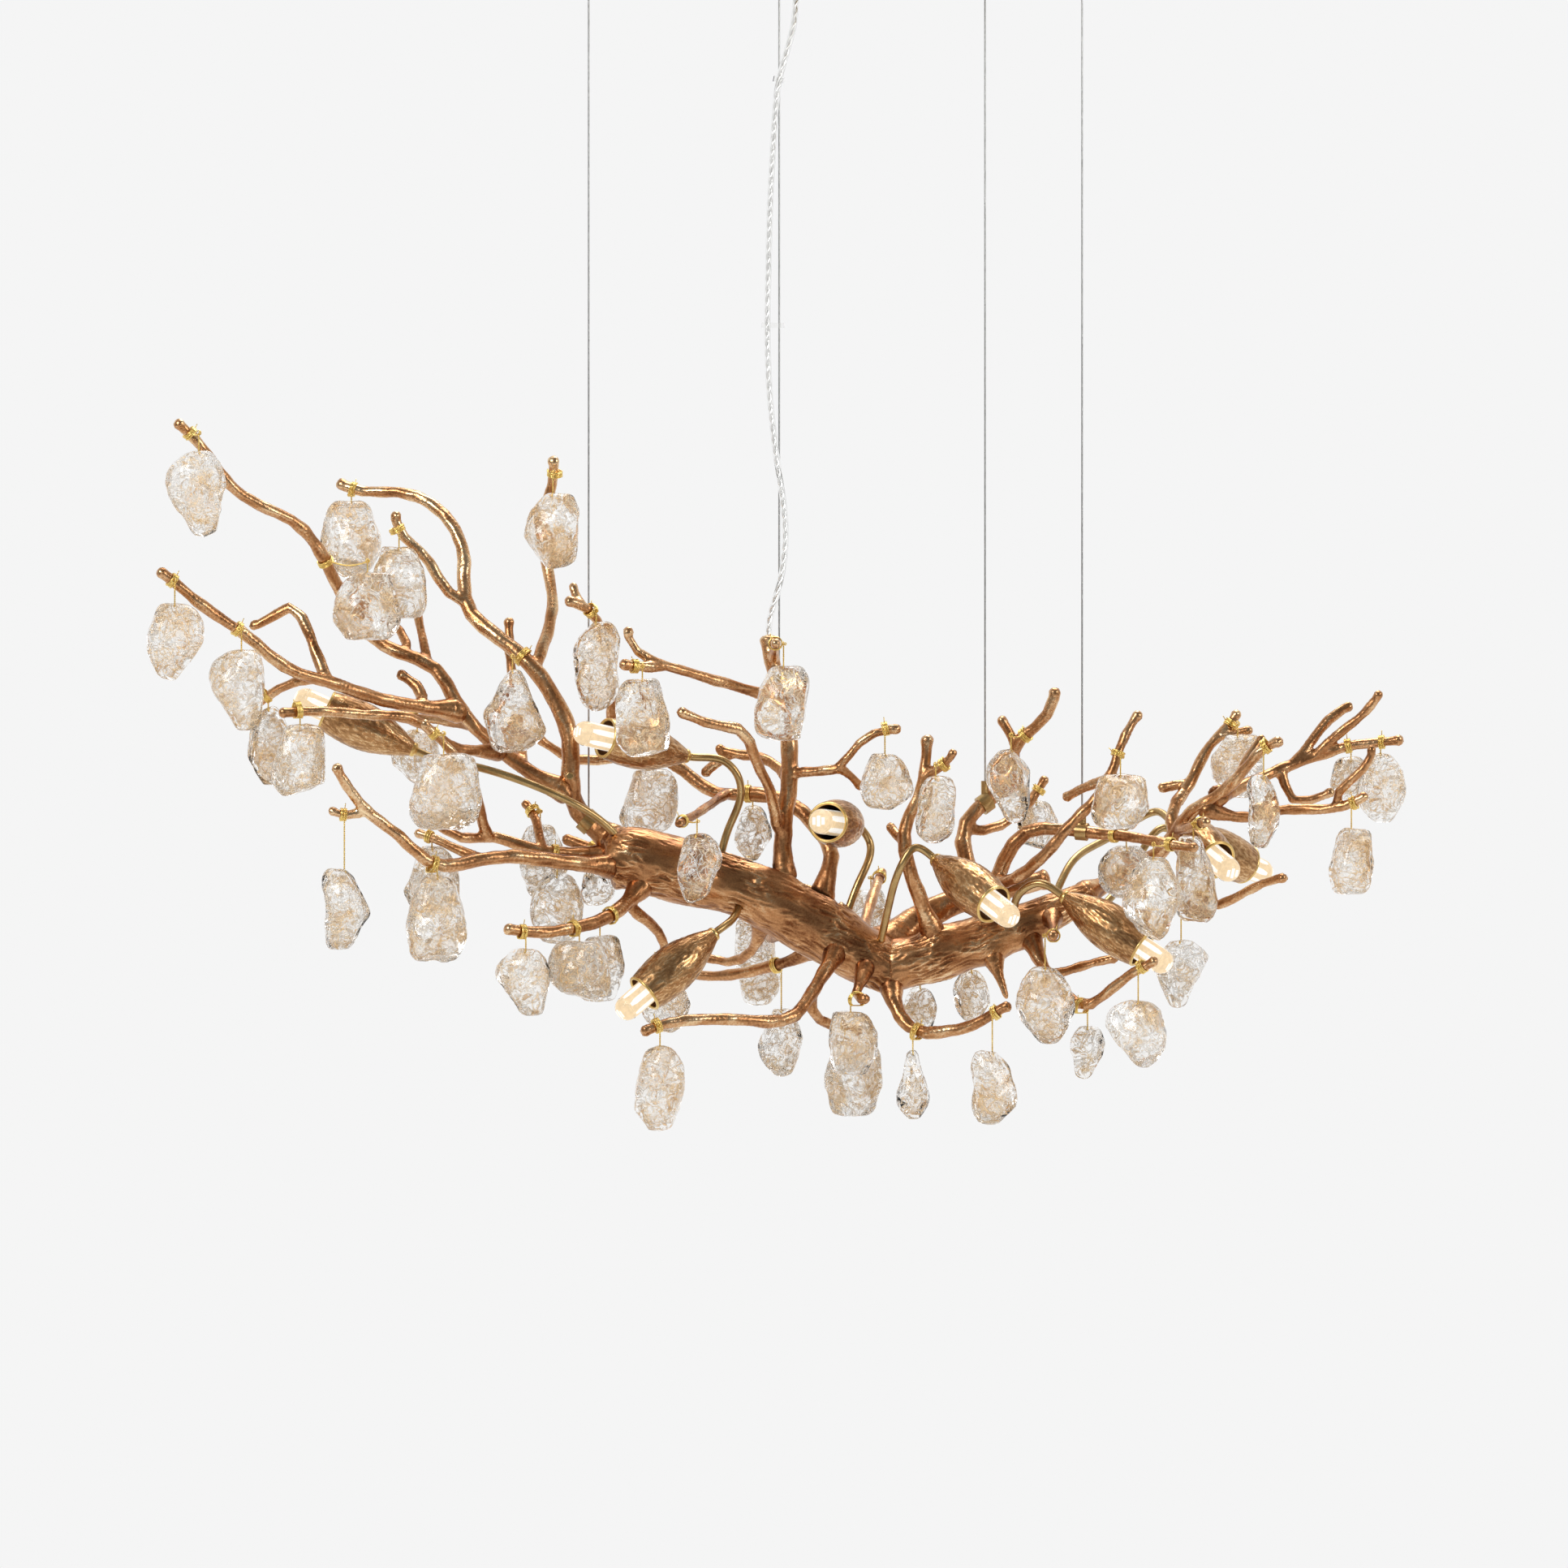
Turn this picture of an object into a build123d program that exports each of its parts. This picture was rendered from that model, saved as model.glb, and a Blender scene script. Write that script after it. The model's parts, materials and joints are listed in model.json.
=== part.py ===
import math
import os
import random
from collections import namedtuple

from build123d import *

# Branch chandelier hung on four cables. Millimetres, +Z up, front is -Y.
# The origin is the middle of the canopy's ceiling face. Stem points are given from the tree's
# own datum, which hangs straight below the origin.

# Driving dimensions
drop = 670.0                # ceiling face down to the tree's datum
canopy_length = 500.0
canopy_width = 124.0
canopy_height = 28.0
canopy_wall = 1.5
canopy_corner = 12.0
canopy_fit = 1.0            # air between canopy and bar
bar_length = 300.0
bar_width = 40.0
bar_thickness = 3.0
bracket_width = 24.0
bracket_lap = 9.0           # how far a bracket's foot lies under the bar
ceiling_hole_spacing = 180.0
ceiling_hole_radius = 2.75
supply_hole_radius = 9.0
screw_radius = 2.0
screw_head_radius = 4.0
screw_head_height = 3.0
screw_fit = 0.25
terminal_length = 36.0
terminal_width = 20.0
terminal_height = 14.0
terminal_place = 45.0       # along the bar, between the supply hole and a ceiling screw

cable_radius = 0.75
cable_fit = 0.35
gripper_radius = 6.0
gripper_length = 20.0
gripper_neck_radius = 4.0
gripper_neck_length = 7.0
saddle_length = 9.0
saddle_wall = 2.0
saddle_boss_radius = 3.2
saddle_boss_height = 12.0

cord_radius = 2.5
cord_fit = 0.7
gland_radius = 8.0
gland_length = 18.0
gland_neck_radius = 5.0
cord_socket_depth = 6.0
tie_fit = 0.8
tie_wall = 1.0
tie_width = 4.0
bend_share = 0.45           # of the shorter run, taken up by the arc at a cord point

braze_gap = 0.3             # joint line between a brazed twig and what it grows from
section_spacing = 15.0      # between the lofted rings of a stem
bud_length = 7.0            # swollen end of every stem
bud_swell = 1.22
bud_round = 0.7
bud_peak = 0.4              # share of the bud between its widest ring and its end

trunk_wall = 5.0
trunk_end_wall = 9.0
slot_width = 17.0
slot_fit = 0.4
cover_thickness = 3.0
cover_depth = 5.0           # cover strip below the log's top
cover_spare = 0.01          # share of the log's length left free at each end of the strip
cover_ledge = 2.0           # how far the ledges reach in under the strip
strip_steps = 6

arm_radius = 3.1
arm_fit = 0.2
cup_length = 75.0
cup_tail_radius = 5.2
cup_belly_radius = 18.5
cup_belly_share = 0.55      # of the cup's length, up to its widest ring
cup_shoulder_share = 0.27
cup_shoulder_radius = 13.5
cup_mouth_radius = 15.8
cup_wall = 1.8
cup_floor = 16.0
cup_lip = 1.3
arm_seat_depth = 8.0
holder_radius = 9.5
holder_height = 18.0
bulb_radius = 10.0
bulb_base_radius = 8.0
bulb_base_height = 13.0
bulb_length = 69.0          # from the lampholder's face to the rounded end
bulb_pin_radius = 0.6
bulb_pin_length = 6.0
bulb_pin_offset = 4.5
bulb_pin_fit = 0.3

wire_radius = 0.5
eye_radius = 1.75
pin_radius = 0.7
pin_head_radius = 1.5
pin_head_gap = 0.6          # between the eye and the wrap or the head
wrap_length = 6.0
wrap_wall = 1.5
steep = 0.6                 # a stem whose level share is less than this counts as upright
drill_radius = 0.8
drill_depth = 6.0
drill_rest = 1.0            # between the wire's end and the bottom of its hole
nugget_depth = 0.74         # front to back, as a share of the width

set_screw_radius = 3.0
set_screw_length = 4.0

up = Vector(0, 0, 1)


def row(x, y, z):
    return Vector(x, y, z - drop)


# Trunk logs: points along the axis and the radius at each
Log = namedtuple("Log", "points radii")
left_log = Log(
    [(-178, -5, -64), (-146, -2, -62), (-108, 0, -72), (-69, 0, -83),
     (-31, 0, -102), (1, 0, -121), (30, 0, -140), (46, 0, -150)],
    [20, 25, 25, 24, 24.5, 25, 23, 17])
right_log = Log(
    [(34, 0, -146), (52, 0, -143), (84, 0, -134), (116, 0, -123),
     (148, 2, -111), (180, 4, -97), (201, 6, -86)],
    [17, 20, 20, 19, 17, 13.5, 10])
slot_span = (0.30, 0.74)    # share of the left log that its slot runs over

# Stems: the name, what it grows from, the radius at root and tip, and points from root to tip
Stem = namedtuple("Stem", "name root base tip points")
branches = {
    "arched_left_branch": [
        Stem("arch", "left_log", 8.0, 3.8,
             [(-158, 0, -58), (-180, 8, -40), (-195, 12, -29), (-207, 6, -11), (-208, 0, 13),
              (-209, 0, 39), (-219, 2, 64), (-236, 5, 90), (-268, 14, 118), (-290, 24, 140),
              (-293, 40, 181), (-307, 52, 211), (-337, 64, 230), (-371, 72, 232), (-394, 76, 240)]),
        Stem("arch_side", "arch", 4.4, 3.4,
             [(-291, 25, 143), (-312, 22, 161), (-322, 20, 178), (-344, 16, 201), (-346, 14, 215)]),
        Stem("arch_upright", "arch", 4.8, 3.8,
             [(-236, 5, 90), (-229, 22, 112), (-223, 44, 142), (-229, 64, 180), (-231, 70, 208),
              (-223, 64, 239), (-223, 56, 259)]),
    ],
    "upper_left_branch": [
        Stem("upper_left", "arch", 6.0, 3.8,
             [(-208, 4, -8), (-226, 0, 0), (-263, 0, 27), (-295, 0, 59), (-317, 5, 93),
              (-349, 10, 106), (-374, 15, 126), (-400, -8, 173), (-425, -30, 206),
              (-467, -50, 228), (-496, -62, 264), (-517, -70, 284)]),
        Stem("upper_left_fork", "upper_left", 3.8, 2.8,
             [(-338, 8, 102), (-340, 22, 117), (-354, 30, 130), (-371, 28, 130)]),
        Stem("upper_left_spur", "upper_left", 3.8, 3.0,
             [(-320, 6, 95), (-327, 26, 122), (-331, 43, 149)]),
        Stem("upper_left_rear", "upper_left", 4.0, 3.0,
             [(-280, 0, 43), (-308, 42, 50), (-346, 68, 53)]),
        Stem("upper_left_rise", "upper_left", 4.2, 3.4,
             [(-246, 0, 15), (-251, 28, 58), (-256, 38, 100), (-257, 42, 131)]),
    ],
    "left_branch": [
        Stem("left", "upper_left", 5.4, 3.8,
             [(-293, 0, 57), (-327, -20, 61), (-358, -40, 67), (-393, -65, 79), (-429, -85, 91),
              (-457, -98, 114), (-491, -112, 137), (-515, -122, 157), (-528, -126, 167)]),
        Stem("left_crook", "left", 4.6, 3.4,
             [(-398, -68, 81), (-405, -60, 98), (-414, -54, 122), (-427, -48, 139),
              (-440, -46, 132), (-459, -42, 125)]),
        Stem("left_drop", "left", 4.2, 3.2,
             [(-405, -71, 83), (-429, -66, 78), (-442, -64, 71), (-455, -62, 60)]),
        Stem("left_spur", "left", 4.0, 3.2,
             [(-327, -20, 61), (-327, -10, 74), (-335, -7, 82), (-344, -5, 87)]),
        Stem("left_front", "upper_left", 4.4, 3.4,
             [(-262, 0, 26), (-285, -25, 26), (-304, -42, 31), (-328, -64, 50),
              (-362, -82, 54), (-400, -102, 57), (-434, -115, 55)]),
    ],
    "low_left_branch": [
        Stem("low_front", "left_log", 6.2, 3.8,
             [(-168, -10, -66), (-216, -48, -61), (-271, -75, -58), (-315, -95, -62),
              (-339, -105, -42), (-356, -110, -29), (-375, -121, -10), (-389, -132, 15)]),
        Stem("low_front_spur", "low_front", 3.6, 3.0,
             [(-366, -114, -20), (-380, -117, -24), (-395, -119, -20)]),
        Stem("low_front_side", "low_front", 4.0, 3.0,
             [(-277, -77, -58), (-292, -70, -53), (-312, -62, -44), (-329, -56, -38)]),
        Stem("low_rear", "left_log", 5.4, 3.4,
             [(-166, 8, -58), (-198, 2, -56), (-222, -8, -54), (-246, -12, -49), (-268, -15, -42),
              (-286, -28, -43), (-311, -40, -31)]),
        Stem("low_rear_rise", "low_rear", 4.4, 3.0,
             [(-273, -19, -42), (-279, -36, -20), (-285, -52, 4), (-302, -66, 27), (-323, -78, 49)]),
        Stem("low_rear_spur", "low_rear", 4.0, 3.2,
             [(-229, -11, -53), (-234, 5, -34), (-239, 15, -21), (-246, 20, -14)]),
        Stem("low_rear_stub", "left_log", 4.6, 3.8,
             [(-166, 14, -62), (-192, 27, -51), (-215, 34, -43)]),
    ],
    "under_left_branch": [
        Stem("under_left", "left_log", 6.0, 3.8,
             [(-146, -8, -72), (-166, -34, -96), (-182, -56, -106), (-216, -86, -115),
              (-238, -99, -116), (-258, -108, -113)]),
        Stem("under_left_back", "under_left", 4.4, 3.2,
             [(-163, -29, -94), (-149, -14, -107), (-137, 2, -119), (-134, 10, -132), (-143, 12, -146)]),
    ],
    "centre_stem": [
        Stem("stem", "left_log", 7.0, 6.0,
             [(-34, 0, -90), (-40, -2, -60), (-40, -5, -32), (-36, -5, -3), (-36, -5, 42),
              (-42, 0, 74), (-49, 3, 97), (-52, 5, 117)]),
        Stem("stem_left", "stem", 4.4, 3.4,
             [(-40, -1, 66), (-65, -6, 73), (-95, -25, 82), (-130, -46, 92), (-145, -53, 98),
              (-159, -57, 108), (-161, -59, 123)]),
        Stem("stem_left_knuckle", "stem_left", 4.0, 3.6,
             [(-134, -48, 93), (-150, -60, 92), (-168, -68, 94)]),
        Stem("stem_front", "stem", 4.8, 3.4,
             [(-40, -4, -43), (-47, -15, -24), (-51, -25, -5), (-61, -38, 17), (-75, -54, 43),
              (-90, -61, 46), (-103, -66, 49), (-122, -73, 58)]),
        Stem("stem_crown", "stem", 4.0, 3.2,
             [(-48, 3, 97), (-47, -20, 107), (-46, -52, 110)]),
        Stem("stem_rear", "stem", 4.2, 3.4,
             [(-37, -5, 4), (-49, 15, 17), (-61, 25, 22), (-76, 32, 23), (-93, 38, 30)]),
        Stem("stem_rear_knuckle", "stem_rear", 3.6, 3.4,
             [(-79, 33, 24), (-93, 39, 17), (-104, 43, 7)]),
        Stem("stem_right", "stem", 4.0, 3.2,
             [(-36, -5, 7), (-17, -16, 10), (3, -25, 13), (14, -28, 26), (28, -30, 38), (52, -31, 43)]),
        Stem("stem_right_spur", "stem_right", 3.4, 2.8,
             [(3, -25, 13), (13, -20, 6), (21, -14, -4)]),
    ],
    "back_left_branch": [
        Stem("back_left", "left_log", 6.6, 3.4,
             [(-12, 6, -98), (-4, 12, -68), (-3, 20, -51), (-13, 28, -35), (-28, 34, -20),
              (-60, 45, -8), (-96, 55, -6), (-129, 63, 17), (-152, 66, 22), (-181, 66, 20),
              (-201, 62, 19), (-216, 58, 24), (-235, 54, 37)]),
        Stem("back_left_front", "back_left", 4.0, 3.0,
             [(-84, 51, -7), (-95, 25, -14), (-106, -8, -22), (-119, -46, -29), (-123, -60, -31)]),
        Stem("back_left_rise", "back_left", 4.4, 3.4,
             [(-179, 66, 20), (-176, 58, 58), (-180, 25, 100), (-187, 0, 129), (-197, -12, 140),
              (-212, -18, 144)]),
        Stem("back_left_tine", "back_left_rise", 3.4, 3.0,
             [(-199, -13, 141), (-204, -8, 149), (-206, -4, 158)]),
    ],
    "front_under_branch": [
        Stem("front_under", "left_log", 5.6, 3.8,
             [(2, -10, -126), (-10, -40, -152), (-18, -50, -164), (-28, -65, -179), (-44, -78, -186),
              (-69, -95, -185), (-101, -110, -184), (-127, -120, -186), (-151, -128, -194)]),
        Stem("front_under_hook", "front_under", 4.2, 3.2,
             [(-18, -50, -164), (-16, -38, -181), (-2, -22, -190), (30, -6, -192)]),
        Stem("front_under_spur", "left_log", 4.4, 3.4,
             [(22, -8, -138), (20, -34, -156), (17, -50, -167), (26, -64, -168)]),
    ],
    "rear_under_branch": [
        Stem("rear_under", "left_log", 5.2, 3.6,
             [(-4, 10, -124), (-41, 45, -142), (-63, 60, -148), (-85, 75, -152), (-111, 90, -151)]),
        Stem("rear_under_fork", "left_log", 4.4, 3.2,
             [(-58, 6, -98), (-64, 30, -130), (-78, 48, -140), (-104, 64, -136)]),
        Stem("rear_under_rise", "left_log", 4.6, 3.4,
             [(-34, 8, -106), (-48, 62, -122), (-56, 98, -115), (-64, 118, -99), (-77, 127, -92)]),
    ],
    "under_right_branch": [
        Stem("under_right", "right_log", 5.6, 3.8,
             [(46, -4, -145), (49, -20, -178), (59, -28, -191), (72, -35, -196), (84, -42, -195),
              (104, -52, -191), (120, -60, -183), (138, -67, -173)]),
        Stem("thorn", "right_log", 5.5, 1.6,
             [(122, -6, -124), (129, -14, -150), (136, -18, -169)]),
        Stem("low_right", "right_log", 5.2, 3.4,
             [(150, 0, -112), (160, -14, -134), (168, -28, -150), (182, -46, -166), (197, -60, -174),
              (212, -70, -165), (228, -80, -152), (252, -93, -138)]),
        Stem("low_right_side", "low_right", 4.0, 3.0,
             [(168, -28, -150), (182, -22, -147), (196, -15, -143), (224, -5, -137)]),
        Stem("front_stub", "right_log", 4.4, 3.4,
             [(172, 2, -100), (172, -38, -114), (171, -86, -119)]),
    ],
    "centre_right_branch": [
        Stem("centre_right", "right_log", 6.4, 3.8,
             [(82, -4, -132), (70, -15, -97), (63, -22, -79), (55, -28, -47), (56, -28, -33),
              (67, -26, -8), (71, -25, 10), (73, -25, 38)]),
        Stem("centre_right_fork", "centre_right", 4.0, 3.2,
             [(69, -26, 1), (80, -31, 12), (88, -35, 17), (94, -37, 27)]),
        Stem("centre_right_spur", "centre_right", 3.8, 3.2,
             [(55, -28, -45), (49, -19, -40), (43, -10, -32)]),
    ],
    "back_bough": [
        Stem("bough", "left_log", 14.0, 7.0,
             [(30, 8, -138), (59, 28, -112), (88, 38, -96), (116, 42, -87), (170, 46, -75)]),
        Stem("back_right", "bough", 6.6, 3.8,
             [(113, 42, -88), (105, 42, -62), (102, 44, -40), (108, 48, -25), (120, 52, -15),
              (134, 58, -2), (142, 60, 13), (144, 52, 31), (157, 44, 43), (168, 38, 55), (175, 34, 76)]),
        Stem("back_right_fork", "back_right", 4.0, 3.2,
             [(144, 53, 29), (139, 52, 40), (131, 52, 53)]),
        Stem("back_right_side", "back_right", 4.0, 3.2,
             [(104, 45, -36), (122, 54, -36), (140, 66, -28), (157, 72, -12), (168, 74, 6)]),
        Stem("rear_peg_left", "left_log", 5.0, 3.6,
             [(18, 8, -128), (26, 50, -104), (34, 96, -80), (38, 122, -70)]),
        Stem("rear_peg_middle", "right_log", 5.0, 3.6,
             [(86, 4, -136), (79, 55, -150), (74, 104, -152)]),
        Stem("rear_peg_right", "right_log", 5.0, 3.6,
             [(112, 4, -124), (114, 60, -134), (117, 110, -141)]),
    ],
    "front_right_branch": [
        Stem("front_right", "right_log", 6.4, 3.4,
             [(124, -2, -118), (127, -6, -80), (136, -13, -55), (153, -20, -37), (180, -24, -36),
              (212, -34, -39), (241, -56, -43), (262, -76, -47), (284, -92, -50)]),
        Stem("front_right_rise", "front_right", 5.0, 3.4,
             [(127, -6, -76), (153, -42, -67), (168, -52, -52), (182, -56, -35), (197, -57, -20),
              (210, -57, -6), (222, -54, 22), (240, -46, 56)]),
        Stem("front_right_side", "front_right_rise", 3.8, 3.2,
             [(214, -56, 3), (196, -42, -3), (181, -28, -11)]),
    ],
    "right_branch": [
        Stem("right", "right_log", 6.8, 3.6,
             [(192, 5, -90), (216, 32, -78), (238, 44, -66), (260, 30, -52), (270, 14, -38),
              (284, -5, -20), (299, -12, -11), (314, -21, 1), (333, -32, 24), (352, -39, 34)]),
        Stem("right_tine", "right", 3.6, 3.0,
             [(315, -22, 2), (327, -14, 22), (338, -9, 38)]),
        Stem("right_low", "right", 4.4, 3.2,
             [(249, 38, -59), (270, 28, -86), (300, 8, -96), (326, -12, -84), (355, -32, -74)]),
        Stem("right_front", "right", 3.8, 3.2,
             [(270, 13, -37), (280, -14, -34), (293, -42, -29)]),
        Stem("upper_right", "right", 4.8, 3.4,
             [(269, 15, -39), (269, 28, -17), (280, 40, -2), (296, 50, 28), (315, 56, 49),
              (320, 57, 58)]),
        Stem("upper_right_hook", "upper_right", 3.8, 3.2,
             [(281, 41, 0), (268, 43, -1), (257, 45, -4)]),
        Stem("upper_right_tine", "upper_right", 3.4, 3.0,
             [(304, 53, 37), (318, 50, 40), (331, 49, 43)]),
    ],
    "far_right_branch": [
        Stem("far_right", "right", 4.6, 3.6,
             [(300, -12, -10), (321, 6, -2), (348, 22, 10), (387, 28, 24), (412, 25, 31),
              (431, 22, 33), (449, 18, 35)]),
        Stem("far_right_crest", "far_right", 4.0, 3.4,
             [(360, 25, 14), (382, 34, 40), (397, 38, 56), (410, 40, 62)]),
        Stem("far_right_rise", "far_right", 4.0, 3.0,
             [(380, 28, 22), (404, 20, 44), (422, 14, 60), (431, 10, 73)]),
        Stem("far_right_hook", "far_right", 3.8, 3.2,
             [(352, 23, 12), (356, 22, -1), (362, 20, -12), (374, 18, -13), (394, 14, -5)]),
        Stem("far_right_low", "right", 4.2, 3.2,
             [(289, -7, -17), (305, -8, -24), (330, -5, -26), (350, -8, -21), (385, -22, -20),
              (419, -34, -8)]),
        Stem("far_right_tip", "far_right_low", 3.4, 3.0,
             [(394, -25, -18), (402, -32, 0), (416, -36, 12), (422, -38, 30)]),
    ],
}

# Glass nuggets: the stem, millimetres back from its tip, side it hangs on, extra reach of the
# pin, length of wire, width, height and form. Those with a name swing; the rest are hung tight.
Nugget = namedtuple("Nugget", "name stem back side reach wire width height form")
front, rear, left, right = (0, -1), (0, 1), (-1, 0), (1, 0)
# A form is a list of levels: share of the height down, share of the half width, share it leans.
egg = ((0, 0.34, 0), (0.13, 0.7, 0), (0.38, 0.97, 0), (0.64, 1, 0), (0.87, 0.7, 0), (1, 0.34, 0))
wedge = ((0, 0.4, 0), (0.12, 0.76, -0.06), (0.34, 1, -0.04),
         (0.6, 0.84, 0.02), (0.85, 0.56, 0.12), (1, 0.26, 0.16))
pear = ((0, 0.22, 0), (0.15, 0.44, 0), (0.4, 0.74, 0), (0.68, 1, 0), (0.88, 0.76, 0), (1, 0.36, 0))
block = ((0, 0.46, 0.08), (0.1, 0.76, 0.06), (0.34, 0.92, 0),
         (0.66, 0.97, -0.04), (0.9, 0.8, -0.08), (1, 0.5, -0.08))
bean = ((0, 0.34, 0.2), (0.14, 0.66, 0.14), (0.38, 0.8, -0.06),
        (0.62, 0.84, -0.1), (0.86, 0.7, 0.06), (1, 0.34, 0.14))
nuggets = [
    Nugget("nugget_far_left", "upper_left", 15, front, 16, 12, 50, 71, wedge),
    Nugget("nugget_arch", "arch", 14, front, 0, 7, 54, 63, egg),
    Nugget("", "upper_left", 174, front, 36, 7, 56, 54, block),
    Nugget("nugget_arch_side", "arch_side", 14, front, 8, 12, 48, 58, block),
    Nugget("", "arch_upright", 14, front, 14, 14, 54, 60, bean),
    Nugget("nugget_left_tip", "left", 14, front, 0, 16, 48, 60, wedge),
    Nugget("nugget_left", "left", 80, front, 2, 14, 52, 64, wedge),
    Nugget("", "left_drop", 13, rear, 0, 6, 38, 62, egg),
    Nugget("nugget_left_front", "left_front", 15, front, 0, 8, 48, 57, block),
    Nugget("", "upper_left_rear", 14, rear, 0, 7, 45, 45, egg),
    Nugget("nugget_low_rise", "low_rear_rise", 14, front, 10, 14, 64, 60, block),
    Nugget("", "arch", 240, front, 20, 8, 54, 66, pear),
    Nugget("", "back_left_rise", 24, front, 0, 7, 48, 70, bean),
    Nugget("nugget_stem_left", "stem_left_knuckle", 12, front, 8, 7, 46, 64, block),
    Nugget("", "back_left", 95, front, 0, 8, 51, 51, block),
    Nugget("", "back_left", 184, rear, 4, 7, 34, 45, egg),
    Nugget("", "stem_crown", 13, right, 0, 16, 50, 58, block),
    Nugget("", "stem_right", 12, front, 8, 16, 44, 46, egg),
    Nugget("nugget_centre", "centre_right_fork", 15, front, 8, 7, 36, 54, block),
    Nugget("nugget_low_tip", "low_front_spur", 12, front, 0, 40, 48, 64, bean),
    Nugget("nugget_low_left", "low_front", 116, front, 0, 7, 50, 74, egg),
    Nugget("", "low_front_side", 12, rear, 0, 6, 48, 58, egg),
    Nugget("", "low_rear_spur", 12, rear, 2, 8, 48, 58, egg),
    Nugget("", "low_rear", 104, front, 0, 14, 44, 58, egg),
    Nugget("", "low_rear_stub", 26, rear, 0, 7, 32, 36, pear),
    Nugget("nugget_trunk", "back_left_front", 13, front, 6, 8, 38, 56, wedge),
    Nugget("", "under_left", 15, front, 0, 12, 45, 52, wedge),
    Nugget("", "under_left", 62, front, 0, 7, 56, 48, block),
    Nugget("", "under_left", 104, rear, 2, 14, 46, 52, block),
    Nugget("", "under_left_back", 12, rear, 0, 12, 42, 46, egg),
    Nugget("nugget_front_under", "front_under", 14, front, 0, 14, 48, 66, egg),
    Nugget("", "rear_under_rise", 13, rear, 0, 8, 42, 70, block),
    Nugget("", "rear_under", 78, rear, 0, 32, 38, 54, egg),
    Nugget("", "front_under_spur", 12, front, 0, 8, 46, 50, block),
    Nugget("", "front_under_hook", 13, rear, 0, 10, 48, 58, block),
    Nugget("nugget_under_drop", "under_right", 86, front, 0, 12, 28, 56, pear),
    Nugget("", "rear_peg_middle", 13, left, 0, 7, 30, 36, egg),
    Nugget("", "rear_peg_left", 14, left, 0, 8, 46, 42, block),
    Nugget("", "rear_peg_right", 13, left, 0, 6, 34, 42, egg),
    Nugget("nugget_under_right", "under_right", 14, front, 0, 28, 46, 58, bean),
    Nugget("", "front_stub", 14, left, 0, 22, 46, 62, egg),
    Nugget("", "low_right", 78, rear, 0, 14, 32, 42, wedge),
    Nugget("nugget_low_right", "low_right", 14, front, 0, 24, 54, 54, wedge),
    Nugget("", "right_low", 100, front, 0, 30, 42, 54, wedge),
    Nugget("", "back_right", 48, front, 18, 10, 42, 58, wedge),
    Nugget("", "back_right_side", 12, rear, 16, 7, 38, 40, egg),
    Nugget("", "front_right_rise", 38, front, 20, 14, 50, 44, block),
    Nugget("", "front_right", 84, rear, 10, 7, 50, 42, egg),
    Nugget("nugget_front_right", "front_right", 26, front, 14, 7, 48, 68, egg),
    Nugget("", "right_front", 12, front, 0, 8, 38, 68, block),
    Nugget("", "upper_right", 12, front, 14, 7, 46, 50, block),
    Nugget("nugget_right_tip", "right", 14, front, 0, 20, 32, 58, bean),
    Nugget("nugget_far_right", "far_right", 17, front, 0, 7, 42, 54, egg),
    Nugget("", "far_right", 44, rear, 14, 7, 34, 34, block),
    Nugget("nugget_far_low", "far_right_low", 13, front, 0, 18, 42, 52, block),
]

# Lamps: tail of the cup, the way it points, and the arm's route from the trunk to the tail
Lamp = namedtuple("Lamp", "tail aim route")
lamps = [
    Lamp((-331, -28, 27), (-68, 0, 31),
         [(-158, -6, -58), (-176, -14, -36), (-202, -26, -17), (-227, -30, -5), (-290, -28, 15)]),
    Lamp((-117, -5, 22), (-62, -38, 14),
         [(-94, 15, -74), (-83, 14, -34), (-74, 10, -10), (-76, 6, 6), (-87, 4, 18)]),
    Lamp((16, -4, -33), (-21, -71, 3),
         [(4, 2, -120), (20, 8, -76), (28, 14, -57), (28, 18, -46), (22, 14, -36)]),
    Lamp((80, -46, -60), (44, -50, -34),
         [(34, -4, -136), (44, -30, -90), (54, -46, -61), (64, -44, -50)]),
    Lamp((-95, -42, -118), (-54, -24, -46),
         [(-72, -4, -86), (-80, -28, -106)]),
    Lamp((181, -40, -89), (60, -20, -40),
         [(140, -2, -112), (146, -26, -86), (160, -34, -78)]),
    Lamp((275, 120, -40), (49, 42, -22),
         [(176, 4, -98), (202, 50, -102), (240, 98, -62), (262, 110, -35)]),
    Lamp((268, 74, -30), (34, -60, -30),
         [(168, 4, -102), (188, 40, -62), (226, 84, -38), (256, 94, -22)]),
]

# Cables: the stem each holds, millimetres back from its tip, and whether the boss stands beside it
Cable = namedtuple("Cable", "name stem back beside")
cables = [
    Cable("cable_far_left", "arch", 388, True),
    Cable("cable_cord_side", "stem", 38, True),
    Cable("cable_right", "back_right", 118, False),
    Cable("cable_far_right", "front_right", 112, False),
]

# Power cord: hand-picked points from the stem's tip up to the canopy
cord_points = [
    (-51.2, 4.4, 112), (-52.4, 5.4, 122), (-49.5, 4, 137), (-45, 2, 150), (-40, 1, 172),
    (-38, 1, 197), (-40, 2, 222), (-45, 3, 253), (-49, 2, 285), (-52, 3, 318), (-53, 4, 362),
    (-52, 3, 407), (-51, 4, 452), (-49, 3, 492), (-47, 4, 528), (-44, 2, 556), (-36, -2, 582),
    (-30, -4, 606), (-30, -4, 638),
]
tie_points = (10, 15)       # which cord points have a tie


def route_of(points):
    with BuildLine() as route:
        Spline(*[row(*point) for point in points])
    return route.edge()


def point_on(line, station):
    return line.position_at(station * line.length, position_mode=PositionMode.LENGTH)


def heading_on(line, station):
    return line.tangent_at(station * line.length, position_mode=PositionMode.LENGTH)


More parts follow.
